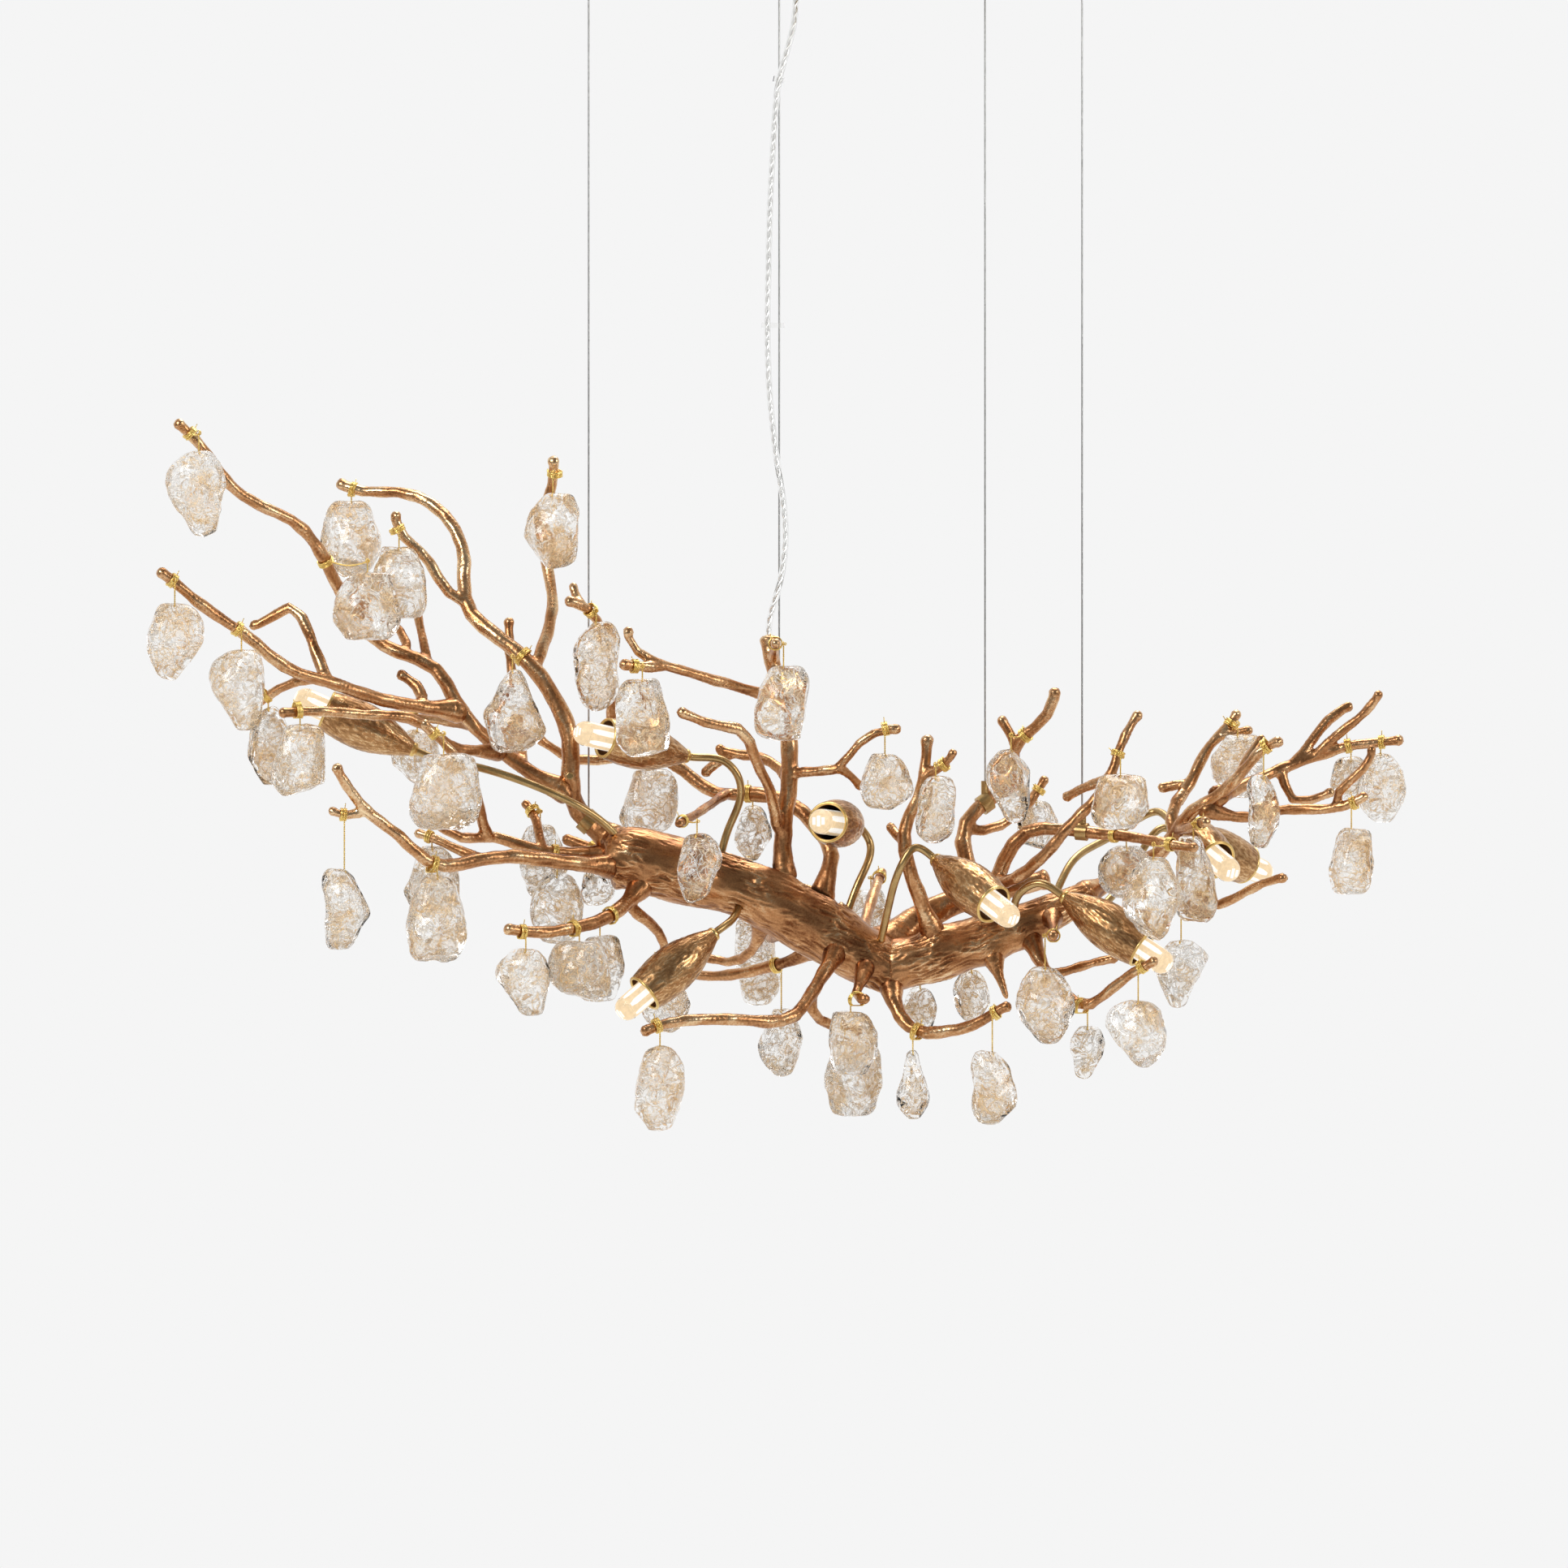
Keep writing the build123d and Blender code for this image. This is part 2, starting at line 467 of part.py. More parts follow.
def rings(line, stations):
    """Planes square to a line, turned as little as possible from one to the next."""
    planes = []
    across = heading_on(line, 0).cross(up)
    if across.length < 0.1:
        across = Vector(1, 0, 0)
    for station in stations:
        along = heading_on(line, station)
        across = (across - along * across.dot(along)).normalized()
        planes.append(Plane(point_on(line, station), x_dir=across, z_dir=along))
    return planes


def stem_radius(stem, length, back):
    """Radius of a stem at a distance back from its tip."""
    return stem.tip + (stem.base - stem.tip) * back / length


def stem_solid(stem, grow=0.0):
    """A tapered, knuckled stem with a swollen bud at its tip."""
    line = lines[stem.name]
    body = line.length - bud_length
    count = max(3, round(body / section_spacing))
    stations = [body * step / count / line.length for step in range(count + 1)]
    radii = [stem_radius(stem, line.length, line.length * (1 - station)) for station in stations]
    stations += [1 - bud_peak * bud_length / line.length, 1.0]
    radii += [stem.tip * bud_swell, stem.tip * bud_round]
    with BuildPart() as solid:
        for plane, radius in zip(rings(line, stations), radii):
            with BuildSketch(plane):
                Circle(radius + grow)
        loft(ruled=True)
    return solid.part


def log_solid(log, grow=0.0, first=0.0, last=1.0):
    """A trunk log between two shares of its length, its skin moved out by grow."""
    line = route_of(log.points)
    steps = len(log.radii) - 1
    stations = [first + (last - first) * step / steps for step in range(steps + 1)]
    with BuildPart() as solid:
        for plane, station in zip(rings(line, stations), stations):
            with BuildSketch(plane):
                Circle(log_radius(log, station) + grow)
        loft()
    return solid.part


def log_radius(log, station):
    place = station * (len(log.radii) - 1)
    step = min(int(place), len(log.radii) - 2)
    return log.radii[step] + (log.radii[step + 1] - log.radii[step]) * (place - step)


def slot_strip(width, below, above, spare=0.0):
    """A strip along the left log's slot, given by its depth below the log's top."""
    line = route_of(left_log.points)
    first, last = slot_span[0] + spare, slot_span[1] - spare
    with BuildPart() as strip:
        for step in range(strip_steps + 1):
            station = first + (last - first) * step / strip_steps
            along = heading_on(line, station)
            side = along.cross(up).normalized()
            top = log_radius(left_log, station)
            with BuildSketch(Plane(point_on(line, station), x_dir=side, z_dir=along)):
                with Locations((0, -(top + (above - below) / 2))):
                    Rectangle(width, above + below)
        loft()
    return strip.part


def hang_point(stem_name, back, side):
    """Axis point, tangent, radius and level side direction where something is hung on a stem."""
    line = lines[stem_name]
    station = 1 - back / line.length
    along = heading_on(line, station)
    facing = Vector(side[0], side[1], 0)
    out = along.cross(up)
    if out.length < steep:
        out = facing - along * facing.dot(along)
        out = Vector(out.X, out.Y, 0)
    if out.dot(facing) < 0:
        out = out * -1
    radius = stem_radius(stems[stem_name], line.length, back + wrap_length / 2)
    return point_on(line, station), along, radius, out.normalized()


def eye_place(nugget):
    """Centre of the eye and direction of its pin."""
    spot, along, radius, out = hang_point(nugget.stem, nugget.back, nugget.side)
    stand = radius + braze_gap + wrap_wall + pin_head_gap + wire_radius + nugget.reach
    return spot + out * stand, out


def wrap_solid(nugget):
    spot, along, radius, out = hang_point(nugget.stem, nugget.back, nugget.side)
    eye, out = eye_place(nugget)
    outer = radius + braze_gap + wrap_wall
    reach = (eye - spot).length + wire_radius + pin_head_gap
    with BuildPart() as wrap:
        with BuildSketch(Plane(spot, x_dir=out, z_dir=along)):
            Circle(outer)
        extrude(amount=wrap_length / 2, both=True)
        with BuildSketch(Plane(spot + out * (outer - wrap_wall / 2), z_dir=out)):
            Circle(pin_radius)
        extrude(amount=reach - outer + wrap_wall / 2)
        with BuildSketch(Plane(spot + out * reach, z_dir=out)):
            Circle(pin_head_radius)
        extrude(amount=pin_head_radius / 2)
        add(cutters[nugget.stem], mode=Mode.SUBTRACT)
    return wrap.part.solids().sort_by(SortBy.VOLUME)[-1]


nugget_corners = 7


def nugget_glass(nugget, number):
    """Lumpy glass, hung by its own balance point, with its top at the origin."""
    chance = random.Random(number)
    turn = chance.uniform(0, 2 * math.pi)
    swell = [chance.uniform(0.9, 1.08) for _ in range(nugget_corners)]
    half = nugget.width / 2
    lean = half * (-1) ** number
    with BuildPart() as glass:
        for level, share, shift in nugget.form:
            ring = []
            for corner in range(nugget_corners):
                angle = turn + 2 * math.pi * corner / nugget_corners
                bump = share * swell[corner] * chance.uniform(0.94, 1.05)
                ring.append((half * bump * math.cos(angle) + lean * shift,
                             half * nugget_depth * bump * math.sin(angle)))
            with BuildSketch(Plane.XY.offset(-level * nugget.height)):
                with BuildLine():
                    Spline(*ring, periodic=True)
                make_face()
        loft()
    middle = glass.part.center(CenterOf.MASS)
    with BuildPart() as hung:
        with Locations((-middle.X, -middle.Y, 0)):
            add(glass.part)
        Cylinder(drill_radius, drill_depth, align=(Align.CENTER, Align.CENTER, Align.MAX),
                 mode=Mode.SUBTRACT)
    return hung.part


def nugget_wire(nugget, out):
    """Eye and straight wire, with the eye's centre at the origin."""
    reach = nugget.wire + drill_depth - drill_rest
    with BuildPart() as wire:
        with BuildSketch(Plane((0, 0, -eye_radius), z_dir=(0, 0, -1))):
            Circle(wire_radius)
        extrude(amount=reach)
        with Locations(Plane((0, 0, 0), z_dir=out)):
            Torus(eye_radius, wire_radius)
    return wire.part


def hung_nugget(nugget, number):
    """The wire and the glass, in place."""
    eye, out = eye_place(nugget)
    wire = Location(eye) * nugget_wire(nugget, out)
    glass = Location(eye - up * (eye_radius + nugget.wire)) * nugget_glass(nugget, number)
    return [wire, glass]


def export(solid, name):
    solid.label = name
    export_step(solid, "parts/" + name + ".step")


def export_group(solids, name):
    export(Compound(children=list(solids)), name)


def lamp_plane(lamp):
    return Plane(row(*lamp.tail), z_dir=Vector(*lamp.aim).normalized())


def arm_line(lamp):
    """The arm's route, which enters the tail of its cup straight."""
    aim = Vector(*lamp.aim).normalized()
    tail = row(*lamp.tail)
    points = [row(*point) for point in lamp.route]
    with BuildLine() as route:
        Spline(*points, tail, tangents=[points[1] - points[0], aim])
        Line(tail, tail + aim * arm_seat_depth)
    return route.wire()


os.makedirs("parts", exist_ok=True)
stems = {stem.name: stem for group in branches.values() for stem in group}
lines = {name: route_of(stem.points) for name, stem in stems.items()}

# Trunk
left_skin = log_solid(left_log)
left_cutter = log_solid(left_log, braze_gap)
right_cutter = log_solid(right_log, braze_gap)
wall_share = trunk_end_wall / route_of(left_log.points).length

with BuildPart() as trunk_left:
    add(left_skin)
    add(log_solid(left_log, -trunk_wall, wall_share, 1 - wall_share), mode=Mode.SUBTRACT)
    add(slot_strip(slot_width, cover_depth, trunk_wall), mode=Mode.SUBTRACT)
    add(slot_strip(slot_width - 2 * cover_ledge, trunk_wall * 3, trunk_wall, wall_share),
        mode=Mode.SUBTRACT)
export(trunk_left.part, "trunk_left")

with BuildPart() as trunk_right:
    add(log_solid(right_log))
    add(log_solid(right_log, -trunk_wall, 2 * wall_share, 1 - 2 * wall_share), mode=Mode.SUBTRACT)
    add(left_cutter, mode=Mode.SUBTRACT)
export(trunk_right.part, "trunk_right")

with BuildPart() as slot_cover:
    add(slot_strip(slot_width - 2 * slot_fit, cover_depth - slot_fit, cover_thickness - cover_depth,
                   cover_spare))
export(slot_cover.part, "slot_cover")

# Branches
log_names = ("left_log", "right_log")
cord_stem = "stem"
cutters = {"left_log": left_cutter, "right_log": right_cutter}
for name, stem in stems.items():
    cutters[name] = stem_solid(stem, braze_gap)

stem_solids = {}
for name, stem in stems.items():
    with BuildPart() as grown:
        add(stem_solid(stem))
        add(cutters[stem.root], mode=Mode.SUBTRACT)
        if stem.root in log_names:
            add(cutters[log_names[1 - log_names.index(stem.root)]], mode=Mode.SUBTRACT)
        if name == cord_stem:
            with BuildSketch(rings(lines[name], [1.0])[0]):
                Circle(cord_radius + cord_fit)
            extrude(amount=-cord_socket_depth, mode=Mode.SUBTRACT)
    stem_solids[name] = grown.part.solids().sort_by(SortBy.VOLUME)[-1]

for name, group in branches.items():
    export_group([stem_solids[stem.name] for stem in group], name)

# Set screws, each in a flat seat pressed into its stem


def set_screw(stem_name, back, side):
    spot, along, radius, out = hang_point(stem_name, back, side)
    with BuildPart() as screw:
        with BuildSketch(Plane(spot, z_dir=out)):
            Circle(set_screw_radius)
        extrude(amount=radius + set_screw_length)
        fillet(screw.edges().sort_by(Axis(spot, out))[-1:], set_screw_radius / 3)
        add(cutters[stem_name], mode=Mode.SUBTRACT)
    return screw.part.solids().sort_by(SortBy.VOLUME)[-1]


export_group([set_screw("arch", 346, front), set_screw("front_right", 217, front)], "set_screws")

# Lamps
cup_belly_height = cup_length * cup_belly_share
cup_shoulder = (cup_shoulder_radius, cup_length * cup_shoulder_share)
inner_mouth_radius = cup_mouth_radius - cup_wall
with BuildPart() as cup:
    with BuildSketch(Plane.XZ):
        with BuildLine():
            Spline((cup_tail_radius, 0), cup_shoulder, (cup_belly_radius, cup_belly_height),
                   (cup_mouth_radius, cup_length))
            Line((cup_mouth_radius, cup_length), (inner_mouth_radius, cup_length))
            Spline((inner_mouth_radius, cup_length), (cup_belly_radius - cup_wall, cup_belly_height),
                   (holder_radius + cup_wall, cup_floor))
            Polyline((holder_radius + cup_wall, cup_floor), (0, cup_floor), (0, 0), (cup_tail_radius, 0))
        make_face()
    revolve(axis=Axis.Z)
    with Locations((0, 0, cup_length)):
        Torus(cup_mouth_radius - cup_wall / 2, cup_lip)
    Cylinder(arm_radius + arm_fit, arm_seat_depth, align=(Align.CENTER, Align.CENTER, Align.MIN),
             mode=Mode.SUBTRACT)

with BuildPart() as holder:
    with BuildSketch(Plane.XY.offset(cup_floor)):
        Circle(holder_radius)
    extrude(amount=holder_height)
    with BuildSketch(Plane.XY.offset(cup_floor + holder_height)):
        with Locations((bulb_pin_offset, 0), (-bulb_pin_offset, 0)):
            Circle(bulb_pin_radius + bulb_pin_fit)
    extrude(amount=-bulb_pin_length - bulb_pin_fit, mode=Mode.SUBTRACT)

bulb_face = cup_floor + holder_height
with BuildPart() as bulb:
    with BuildSketch(Plane.XZ):
        with BuildLine():
            Polyline((0, bulb_face), (bulb_base_radius, bulb_face),
                     (bulb_base_radius, bulb_face + bulb_base_height),
                     (bulb_radius, bulb_face + bulb_base_height + bulb_radius - bulb_base_radius),
                     (bulb_radius, bulb_face + bulb_length - bulb_radius))
            RadiusArc((bulb_radius, bulb_face + bulb_length - bulb_radius), (0, bulb_face + bulb_length),
                      -bulb_radius)
            Line((0, bulb_face + bulb_length), (0, bulb_face))
        make_face()
    revolve(axis=Axis.Z)
    with BuildSketch(Plane.XY.offset(bulb_face)):
        with Locations((bulb_pin_offset, 0), (-bulb_pin_offset, 0)):
            Circle(bulb_pin_radius)
    extrude(amount=-bulb_pin_length)

lamp_places = [lamp_plane(lamp).location for lamp in lamps]
export_group([place * cup.part for place in lamp_places], "lamp_cups")
export_group([place * holder.part for place in lamp_places], "lampholders")
export_group([place * bulb.part for place in lamp_places], "bulbs")

arm_solids = []
for lamp in lamps:
    line = arm_line(lamp)
    with BuildPart() as arm:
        with BuildSketch(Plane(line @ 0, z_dir=line % 0)):
            Circle(arm_radius)
        sweep(path=line)
        for log in log_names:
            add(cutters[log], mode=Mode.SUBTRACT)
    arm_solids.append(arm.part.solids().sort_by(SortBy.VOLUME)[-1])
export_group(arm_solids, "lamp_arms")

# Glass nuggets and the wraps that carry them
export_group([wrap_solid(nugget) for nugget in nuggets], "wire_wraps")
tight = []
for number, nugget in enumerate(nuggets):
    solids = hung_nugget(nugget, number)
    if nugget.name:
        export_group(solids, nugget.name)
    else:
        tight += solids
export_group(tight[:len(tight) // 4 * 2], "tight_nuggets_left")
export_group(tight[len(tight) // 4 * 2:], "tight_nuggets_right")

# Cables, with a saddle on the tree and a gripper under the canopy
canopy_floor = -canopy_height
gripper_foot = canopy_floor - gripper_length


def cable_foot(cable):
    """Bottom of the cable's seat in its saddle boss."""
    spot, along, radius, out = hang_point(cable.stem, cable.back, rear)
    if cable.beside:
        return spot + out * (radius + braze_gap + saddle_wall + saddle_boss_radius / 2)
    return spot + up * (radius + braze_gap + saddle_wall)


def saddle_solid(cable):
    spot, along, radius, out = hang_point(cable.stem, cable.back, rear)
    foot = cable_foot(cable)
    with BuildPart() as saddle:
        with BuildSketch(Plane(spot, x_dir=out, z_dir=along)):
            Circle(radius + braze_gap + saddle_wall)
        extrude(amount=saddle_length / 2, both=True)
        with BuildSketch(Plane(foot - up * saddle_wall)):
            Circle(saddle_boss_radius)
        extrude(amount=saddle_boss_height)
        add(cutters[cable.stem], mode=Mode.SUBTRACT)
        with BuildSketch(Plane(foot)):
            Circle(cable_radius + cable_fit)
        extrude(amount=saddle_boss_height, mode=Mode.SUBTRACT)
    return saddle.part.solids().sort_by(SortBy.VOLUME)[-1]


def gripper_solid(cable):
    foot = cable_foot(cable)
    with BuildPart() as gripper:
        with BuildSketch(Plane((foot.X, foot.Y, gripper_foot))):
            Circle(gripper_radius)
        extrude(amount=gripper_length)
        chamfer(gripper.faces().sort_by(Axis.Z)[0].edges(), gripper_radius / 4)
        with BuildSketch(Plane((foot.X, foot.Y, canopy_floor))):
            Circle(gripper_neck_radius)
        extrude(amount=gripper_neck_length)
        with BuildSketch(Plane((foot.X, foot.Y, gripper_foot))):
            Circle(cable_radius + cable_fit)
        extrude(amount=gripper_length + gripper_neck_length, mode=Mode.SUBTRACT)
    return gripper.part


for cable in cables:
    foot = cable_foot(cable)
    with BuildPart() as strand:
        with BuildSketch(Plane(foot)):
            Circle(cable_radius)
        extrude(amount=canopy_floor + gripper_neck_length - foot.Z)
    export(strand.part, cable.name)
export_group([saddle_solid(cable) for cable in cables], "cable_saddles")
export_group([gripper_solid(cable) for cable in cables], "cable_grippers")

# Power cord, held to its cable by ties


def bend_radii(points):
    """At each inner point, the largest arc that its two runs allow."""
    radii = []
    for before, here, after in zip(points, points[1:], points[2:]):
        turn = math.radians((here - before).get_angle(after - here))
        shorter = min((here - before).length, (after - here).length)
        radii.append(bend_share * shorter / math.tan(turn / 2))
    return radii


cord_path = [row(*point) for point in cord_points]
cord_end = cord_path[-1]
radii = bend_radii(cord_path)
with BuildPart() as power_cord:
    with BuildLine() as cord_line:
        FilletPolyline(*cord_path, radius=radii)
    with BuildSketch(Plane(cord_line.wire() @ 0, z_dir=cord_line.wire() % 0)):
        Circle(cord_radius)
    sweep(path=cord_line.wire())
print("cord radii", [round(radius) for radius in radii])
print("cord volume", round(power_cord.part.volume),
      "section times length", round(math.pi * cord_radius ** 2 * cord_line.wire().length))
export(power_cord.part, "power_cord")

tie_solids = []
for index in tie_points:
    cord_spot = cord_path[index]
    foot = cable_foot(cables[1])
    cable_spot = Vector(foot.X, foot.Y, cord_spot.Z)
    along = (cord_path[index + 1] - cord_path[index - 1]).normalized()
    apart = cable_spot - cord_spot
    inner = cord_radius + tie_fit
    with BuildPart() as tie:
        with BuildSketch(Plane((cord_spot + cable_spot) / 2, x_dir=apart, z_dir=along)):
            SlotCenterToCenter(apart.length, 2 * (inner + tie_wall))
            SlotCenterToCenter(apart.length, 2 * inner, mode=Mode.SUBTRACT)
        extrude(amount=tie_width / 2, both=True)
    tie_solids.append(tie.part)
export_group(tie_solids, "cord_ties")

with BuildPart() as cord_gland:
    with BuildSketch(Plane((cord_end.X, cord_end.Y, canopy_floor - gland_length))):
        Circle(gland_radius)
    extrude(amount=gland_length)
    chamfer(cord_gland.faces().sort_by(Axis.Z)[0].edges(), gland_radius / 5)
    with BuildSketch(Plane((cord_end.X, cord_end.Y, canopy_floor))):
        Circle(gland_neck_radius)
    extrude(amount=gripper_neck_length)
    with BuildSketch(Plane((cord_end.X, cord_end.Y, canopy_floor - gland_length))):
        Circle(cord_radius + cord_fit)
    extrude(amount=gland_length + gripper_neck_length, mode=Mode.SUBTRACT)
export(cord_gland.part, "cord_gland")

# Ceiling canopy and what it hides
cable_feet = [cable_foot(cable) for cable in cables]
side_screw_height = canopy_floor / 2
with BuildPart() as canopy:
    with BuildSketch(Plane.XY.offset(canopy_floor)):
        RectangleRounded(canopy_length, canopy_width, canopy_corner)
    extrude(amount=canopy_height)
    offset(amount=-canopy_wall, openings=canopy.faces().sort_by(Axis.Z)[-1])
    with BuildSketch(Plane.XY.offset(canopy_floor)):
        with Locations(*[(foot.X, foot.Y) for foot in cable_feet]):
            Circle(gripper_neck_radius + screw_fit)
        with Locations((cord_end.X, cord_end.Y)):
            Circle(gland_neck_radius + screw_fit)
    extrude(amount=canopy_wall, mode=Mode.SUBTRACT)
    with BuildSketch(Plane.XZ.offset(-canopy_width)):
        with Locations((0, side_screw_height)):
            Circle(screw_radius + screw_fit)
    extrude(amount=2 * canopy_width, mode=Mode.SUBTRACT)
export(canopy.part, "ceiling_canopy")

with BuildPart() as mounting_bar:
    with BuildSketch(Plane.XY):
        Rectangle(bar_length, bar_width)
        Circle(supply_hole_radius, mode=Mode.SUBTRACT)
        with Locations((ceiling_hole_spacing / 2, 0), (-ceiling_hole_spacing / 2, 0)):
            Circle(ceiling_hole_radius, mode=Mode.SUBTRACT)
    extrude(amount=-bar_thickness)
export(mounting_bar.part, "mounting_bar")

# An angle bracket under each side of the bar takes a canopy screw
bracket_face = canopy_width / 2 - canopy_wall - canopy_fit
bracket_start = bar_width / 2 - bracket_lap
bracket_drop = bracket_width / 2 - side_screw_height - bar_thickness
bracket_solids = []
for side in (-1, 1):
    with BuildPart() as bracket:
        with BuildSketch(Plane.XY.offset(-bar_thickness)):
            with Locations((0, side * (bracket_start + bracket_face) / 2)):
                Rectangle(bracket_width, bracket_face - bracket_start)
        extrude(amount=-bar_thickness)
        with BuildSketch(Plane.XY.offset(-bar_thickness)):
            with Locations((0, side * (bracket_face - bar_thickness / 2))):
                Rectangle(bracket_width, bar_thickness)
        extrude(amount=-bracket_drop)
        with BuildSketch(Plane.XZ.offset(-canopy_width)):
            with Locations((0, side_screw_height)):
                Circle(screw_radius + screw_fit)
        extrude(amount=2 * canopy_width, mode=Mode.SUBTRACT)
    bracket_solids.append(bracket.part)
export_group(bracket_solids, "canopy_brackets")

screw_solids = []
for side in (-1, 1):
    face = Plane((0, side * canopy_width / 2, side_screw_height), z_dir=(0, side, 0))
    with BuildPart() as screw:
        with BuildSketch(face):
            Circle(screw_head_radius)
        extrude(amount=screw_head_height)
        with BuildSketch(face):
            Circle(screw_radius)
        extrude(amount=-(canopy_wall + canopy_fit + 2 * bar_thickness))
    screw_solids.append(screw.part)
export_group(screw_solids, "canopy_screws")

with BuildPart() as terminal_block:
    with BuildSketch(Plane((terminal_place, 0, -bar_thickness))):
        Rectangle(terminal_length, terminal_width)
    extrude(amount=-terminal_height)
    with BuildSketch(Plane((terminal_place, 0, -bar_thickness - terminal_height))):
        with GridLocations(terminal_length / 3, terminal_width / 2, 3, 2):
            Circle(screw_radius)
    extrude(amount=terminal_height / 3, mode=Mode.SUBTRACT)
export(terminal_block.part, "terminal_block")
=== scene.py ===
import json
import math
import random

import bmesh
import bpy
import numpy as np
from mathutils import Matrix, Vector, noise
from mathutils.bvhtree import BVHTree

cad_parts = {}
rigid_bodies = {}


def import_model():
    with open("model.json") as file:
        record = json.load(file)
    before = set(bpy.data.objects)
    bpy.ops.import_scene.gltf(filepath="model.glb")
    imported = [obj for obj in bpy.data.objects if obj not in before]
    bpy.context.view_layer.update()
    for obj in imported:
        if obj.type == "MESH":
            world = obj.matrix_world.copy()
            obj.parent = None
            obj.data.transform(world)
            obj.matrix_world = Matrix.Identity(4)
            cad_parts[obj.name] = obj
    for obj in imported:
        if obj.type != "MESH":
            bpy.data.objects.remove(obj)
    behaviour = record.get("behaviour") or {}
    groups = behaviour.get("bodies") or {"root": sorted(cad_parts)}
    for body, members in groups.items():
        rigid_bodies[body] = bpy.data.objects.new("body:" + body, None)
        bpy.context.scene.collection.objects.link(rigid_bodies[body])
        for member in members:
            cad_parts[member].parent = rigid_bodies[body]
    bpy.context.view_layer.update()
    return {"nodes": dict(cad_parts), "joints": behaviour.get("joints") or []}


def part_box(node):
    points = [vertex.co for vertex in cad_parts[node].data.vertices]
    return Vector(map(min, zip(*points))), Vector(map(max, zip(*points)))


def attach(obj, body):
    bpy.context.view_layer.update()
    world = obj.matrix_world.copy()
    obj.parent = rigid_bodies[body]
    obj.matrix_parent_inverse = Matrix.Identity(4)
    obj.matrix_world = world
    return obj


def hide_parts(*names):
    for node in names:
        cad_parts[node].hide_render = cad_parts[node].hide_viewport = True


for thing in list(bpy.data.objects):  # start from an empty scene
    bpy.data.objects.remove(thing)
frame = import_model()
nodes = frame["nodes"]
mm = 0.001
scene = bpy.context.scene
print("frame loaded,", len(nodes), "nodes")

# camera: level, far off, framed as the photograph
cameraSettings = {"aimX": -39.7 * mm, "aimZ": -670 * mm, "distance": 12.0, "frameWidth": 1.2365}


def setCamera(s):
    data = bpy.data.cameras.new("camera")
    data.sensor_width = 36
    data.lens = 36 * s["distance"] / s["frameWidth"]
    data.clip_end = 200
    camera = bpy.data.objects.new("camera", data)
    camera.location = (s["aimX"], -s["distance"], s["aimZ"])
    camera.rotation_euler = (math.radians(90), 0, 0)
    scene.collection.objects.link(camera)
    scene.camera = camera


setCamera(cameraSettings)
scene.view_settings.view_transform = "Standard"
scene.cycles.transparent_max_bounces = 32


# small helpers

def putPiece(name, mesh, material, covers=(), body="fixture"):
    mesh.materials.append(material)
    mesh.shade_smooth()
    piece = bpy.data.objects.new(name, mesh)
    scene.collection.objects.link(piece)
    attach(piece, body)
    if covers:
        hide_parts(*covers)
    return piece


def meshFrom(name, verts, faces):
    mesh = bpy.data.meshes.new(name)
    mesh.from_pydata([tuple(v) for v in verts], [], faces)
    mesh.update()
    return mesh


def joined(parts):  # several (verts, faces) into one
    verts, faces, start = [], [], 0
    for partVerts, partFaces in parts:
        verts.append(np.asarray(partVerts, float))
        faces += [tuple(i + start for i in face) for face in partFaces]
        start += len(partVerts)
    return np.concatenate(verts), faces


def solidsOf(nodeName):  # the loose solids of a CAD node, as (verts, faces)
    bm = bmesh.new()
    bm.from_mesh(nodes[nodeName].data)
    bmesh.ops.remove_doubles(bm, verts=bm.verts, dist=2e-6)
    bm.verts.index_update()
    seen, solids = set(), []
    for first in bm.faces:
        if first in seen:
            continue
        seen.add(first)
        stack, faces = [first], []
        while stack:
            face = stack.pop()
            faces.append([v.index for v in face.verts])
            for edge in face.edges:
                for other in edge.link_faces:
                    if other not in seen:
                        seen.add(other)
                        stack.append(other)
        used = sorted({i for face in faces for i in face})
        place = {old: new for new, old in enumerate(used)}
        bm.verts.ensure_lookup_table()
        solids.append((np.array([bm.verts[i].co[:] for i in used]),
                       [tuple(place[i] for i in face) for face in faces]))
    bm.free()
    return solids


def remeshed(verts, faces, voxel, smoothing, grow=0.0):  # one even skin, its joints run together
    mesh = meshFrom("blank", verts, faces)
    if grow:
        setCoords(mesh, coords(mesh) + normals(mesh) * grow)
    blank = bpy.data.objects.new("blank", mesh)
    scene.collection.objects.link(blank)
    skin = blank.modifiers.new("skin", "REMESH")
    skin.mode = "VOXEL"
    skin.voxel_size = voxel
    soften = blank.modifiers.new("soften", "SMOOTH")
    soften.factor = 0.5
    soften.iterations = smoothing
    graph = bpy.context.evaluated_depsgraph_get()
    result = bpy.data.meshes.new_from_object(blank.evaluated_get(graph))
    bpy.data.objects.remove(blank)
    bpy.data.meshes.remove(mesh)
    return result


def coords(mesh):
    flat = np.zeros(len(mesh.vertices) * 3)
    mesh.vertices.foreach_get("co", flat)
    return flat.reshape(-1, 3)


def normals(mesh):
    flat = np.zeros(len(mesh.vertices) * 3)
    mesh.vertices.foreach_get("normal", flat)
    return flat.reshape(-1, 3)


def setCoords(mesh, points):
    mesh.vertices.foreach_set("co", points.ravel())
    mesh.update()


# the relief attribute holds painted shade and painted highlight: low values darken the metal, high values lighten it
def setRelief(mesh, values):
    layer = mesh.attributes.new("relief", "FLOAT", "POINT")
    layer.data.foreach_set("value", np.clip(values, 0, 1))


def lumps(points, scale, seed, octaves=2):
    shift = Vector((seed * 7.3, seed * 3.1, seed * 5.7))
    return np.array([noise.fractal(Vector(p) / scale + shift, 0.9, 2.1, octaves) for p in points])


def streaks(points, along, scale, seed, reach):  # lumps drawn out along a direction at each point
    return 0.3 * sum(lumps(points + along * step * reach, scale, seed, 2) for step in np.linspace(-1, 1, 7))


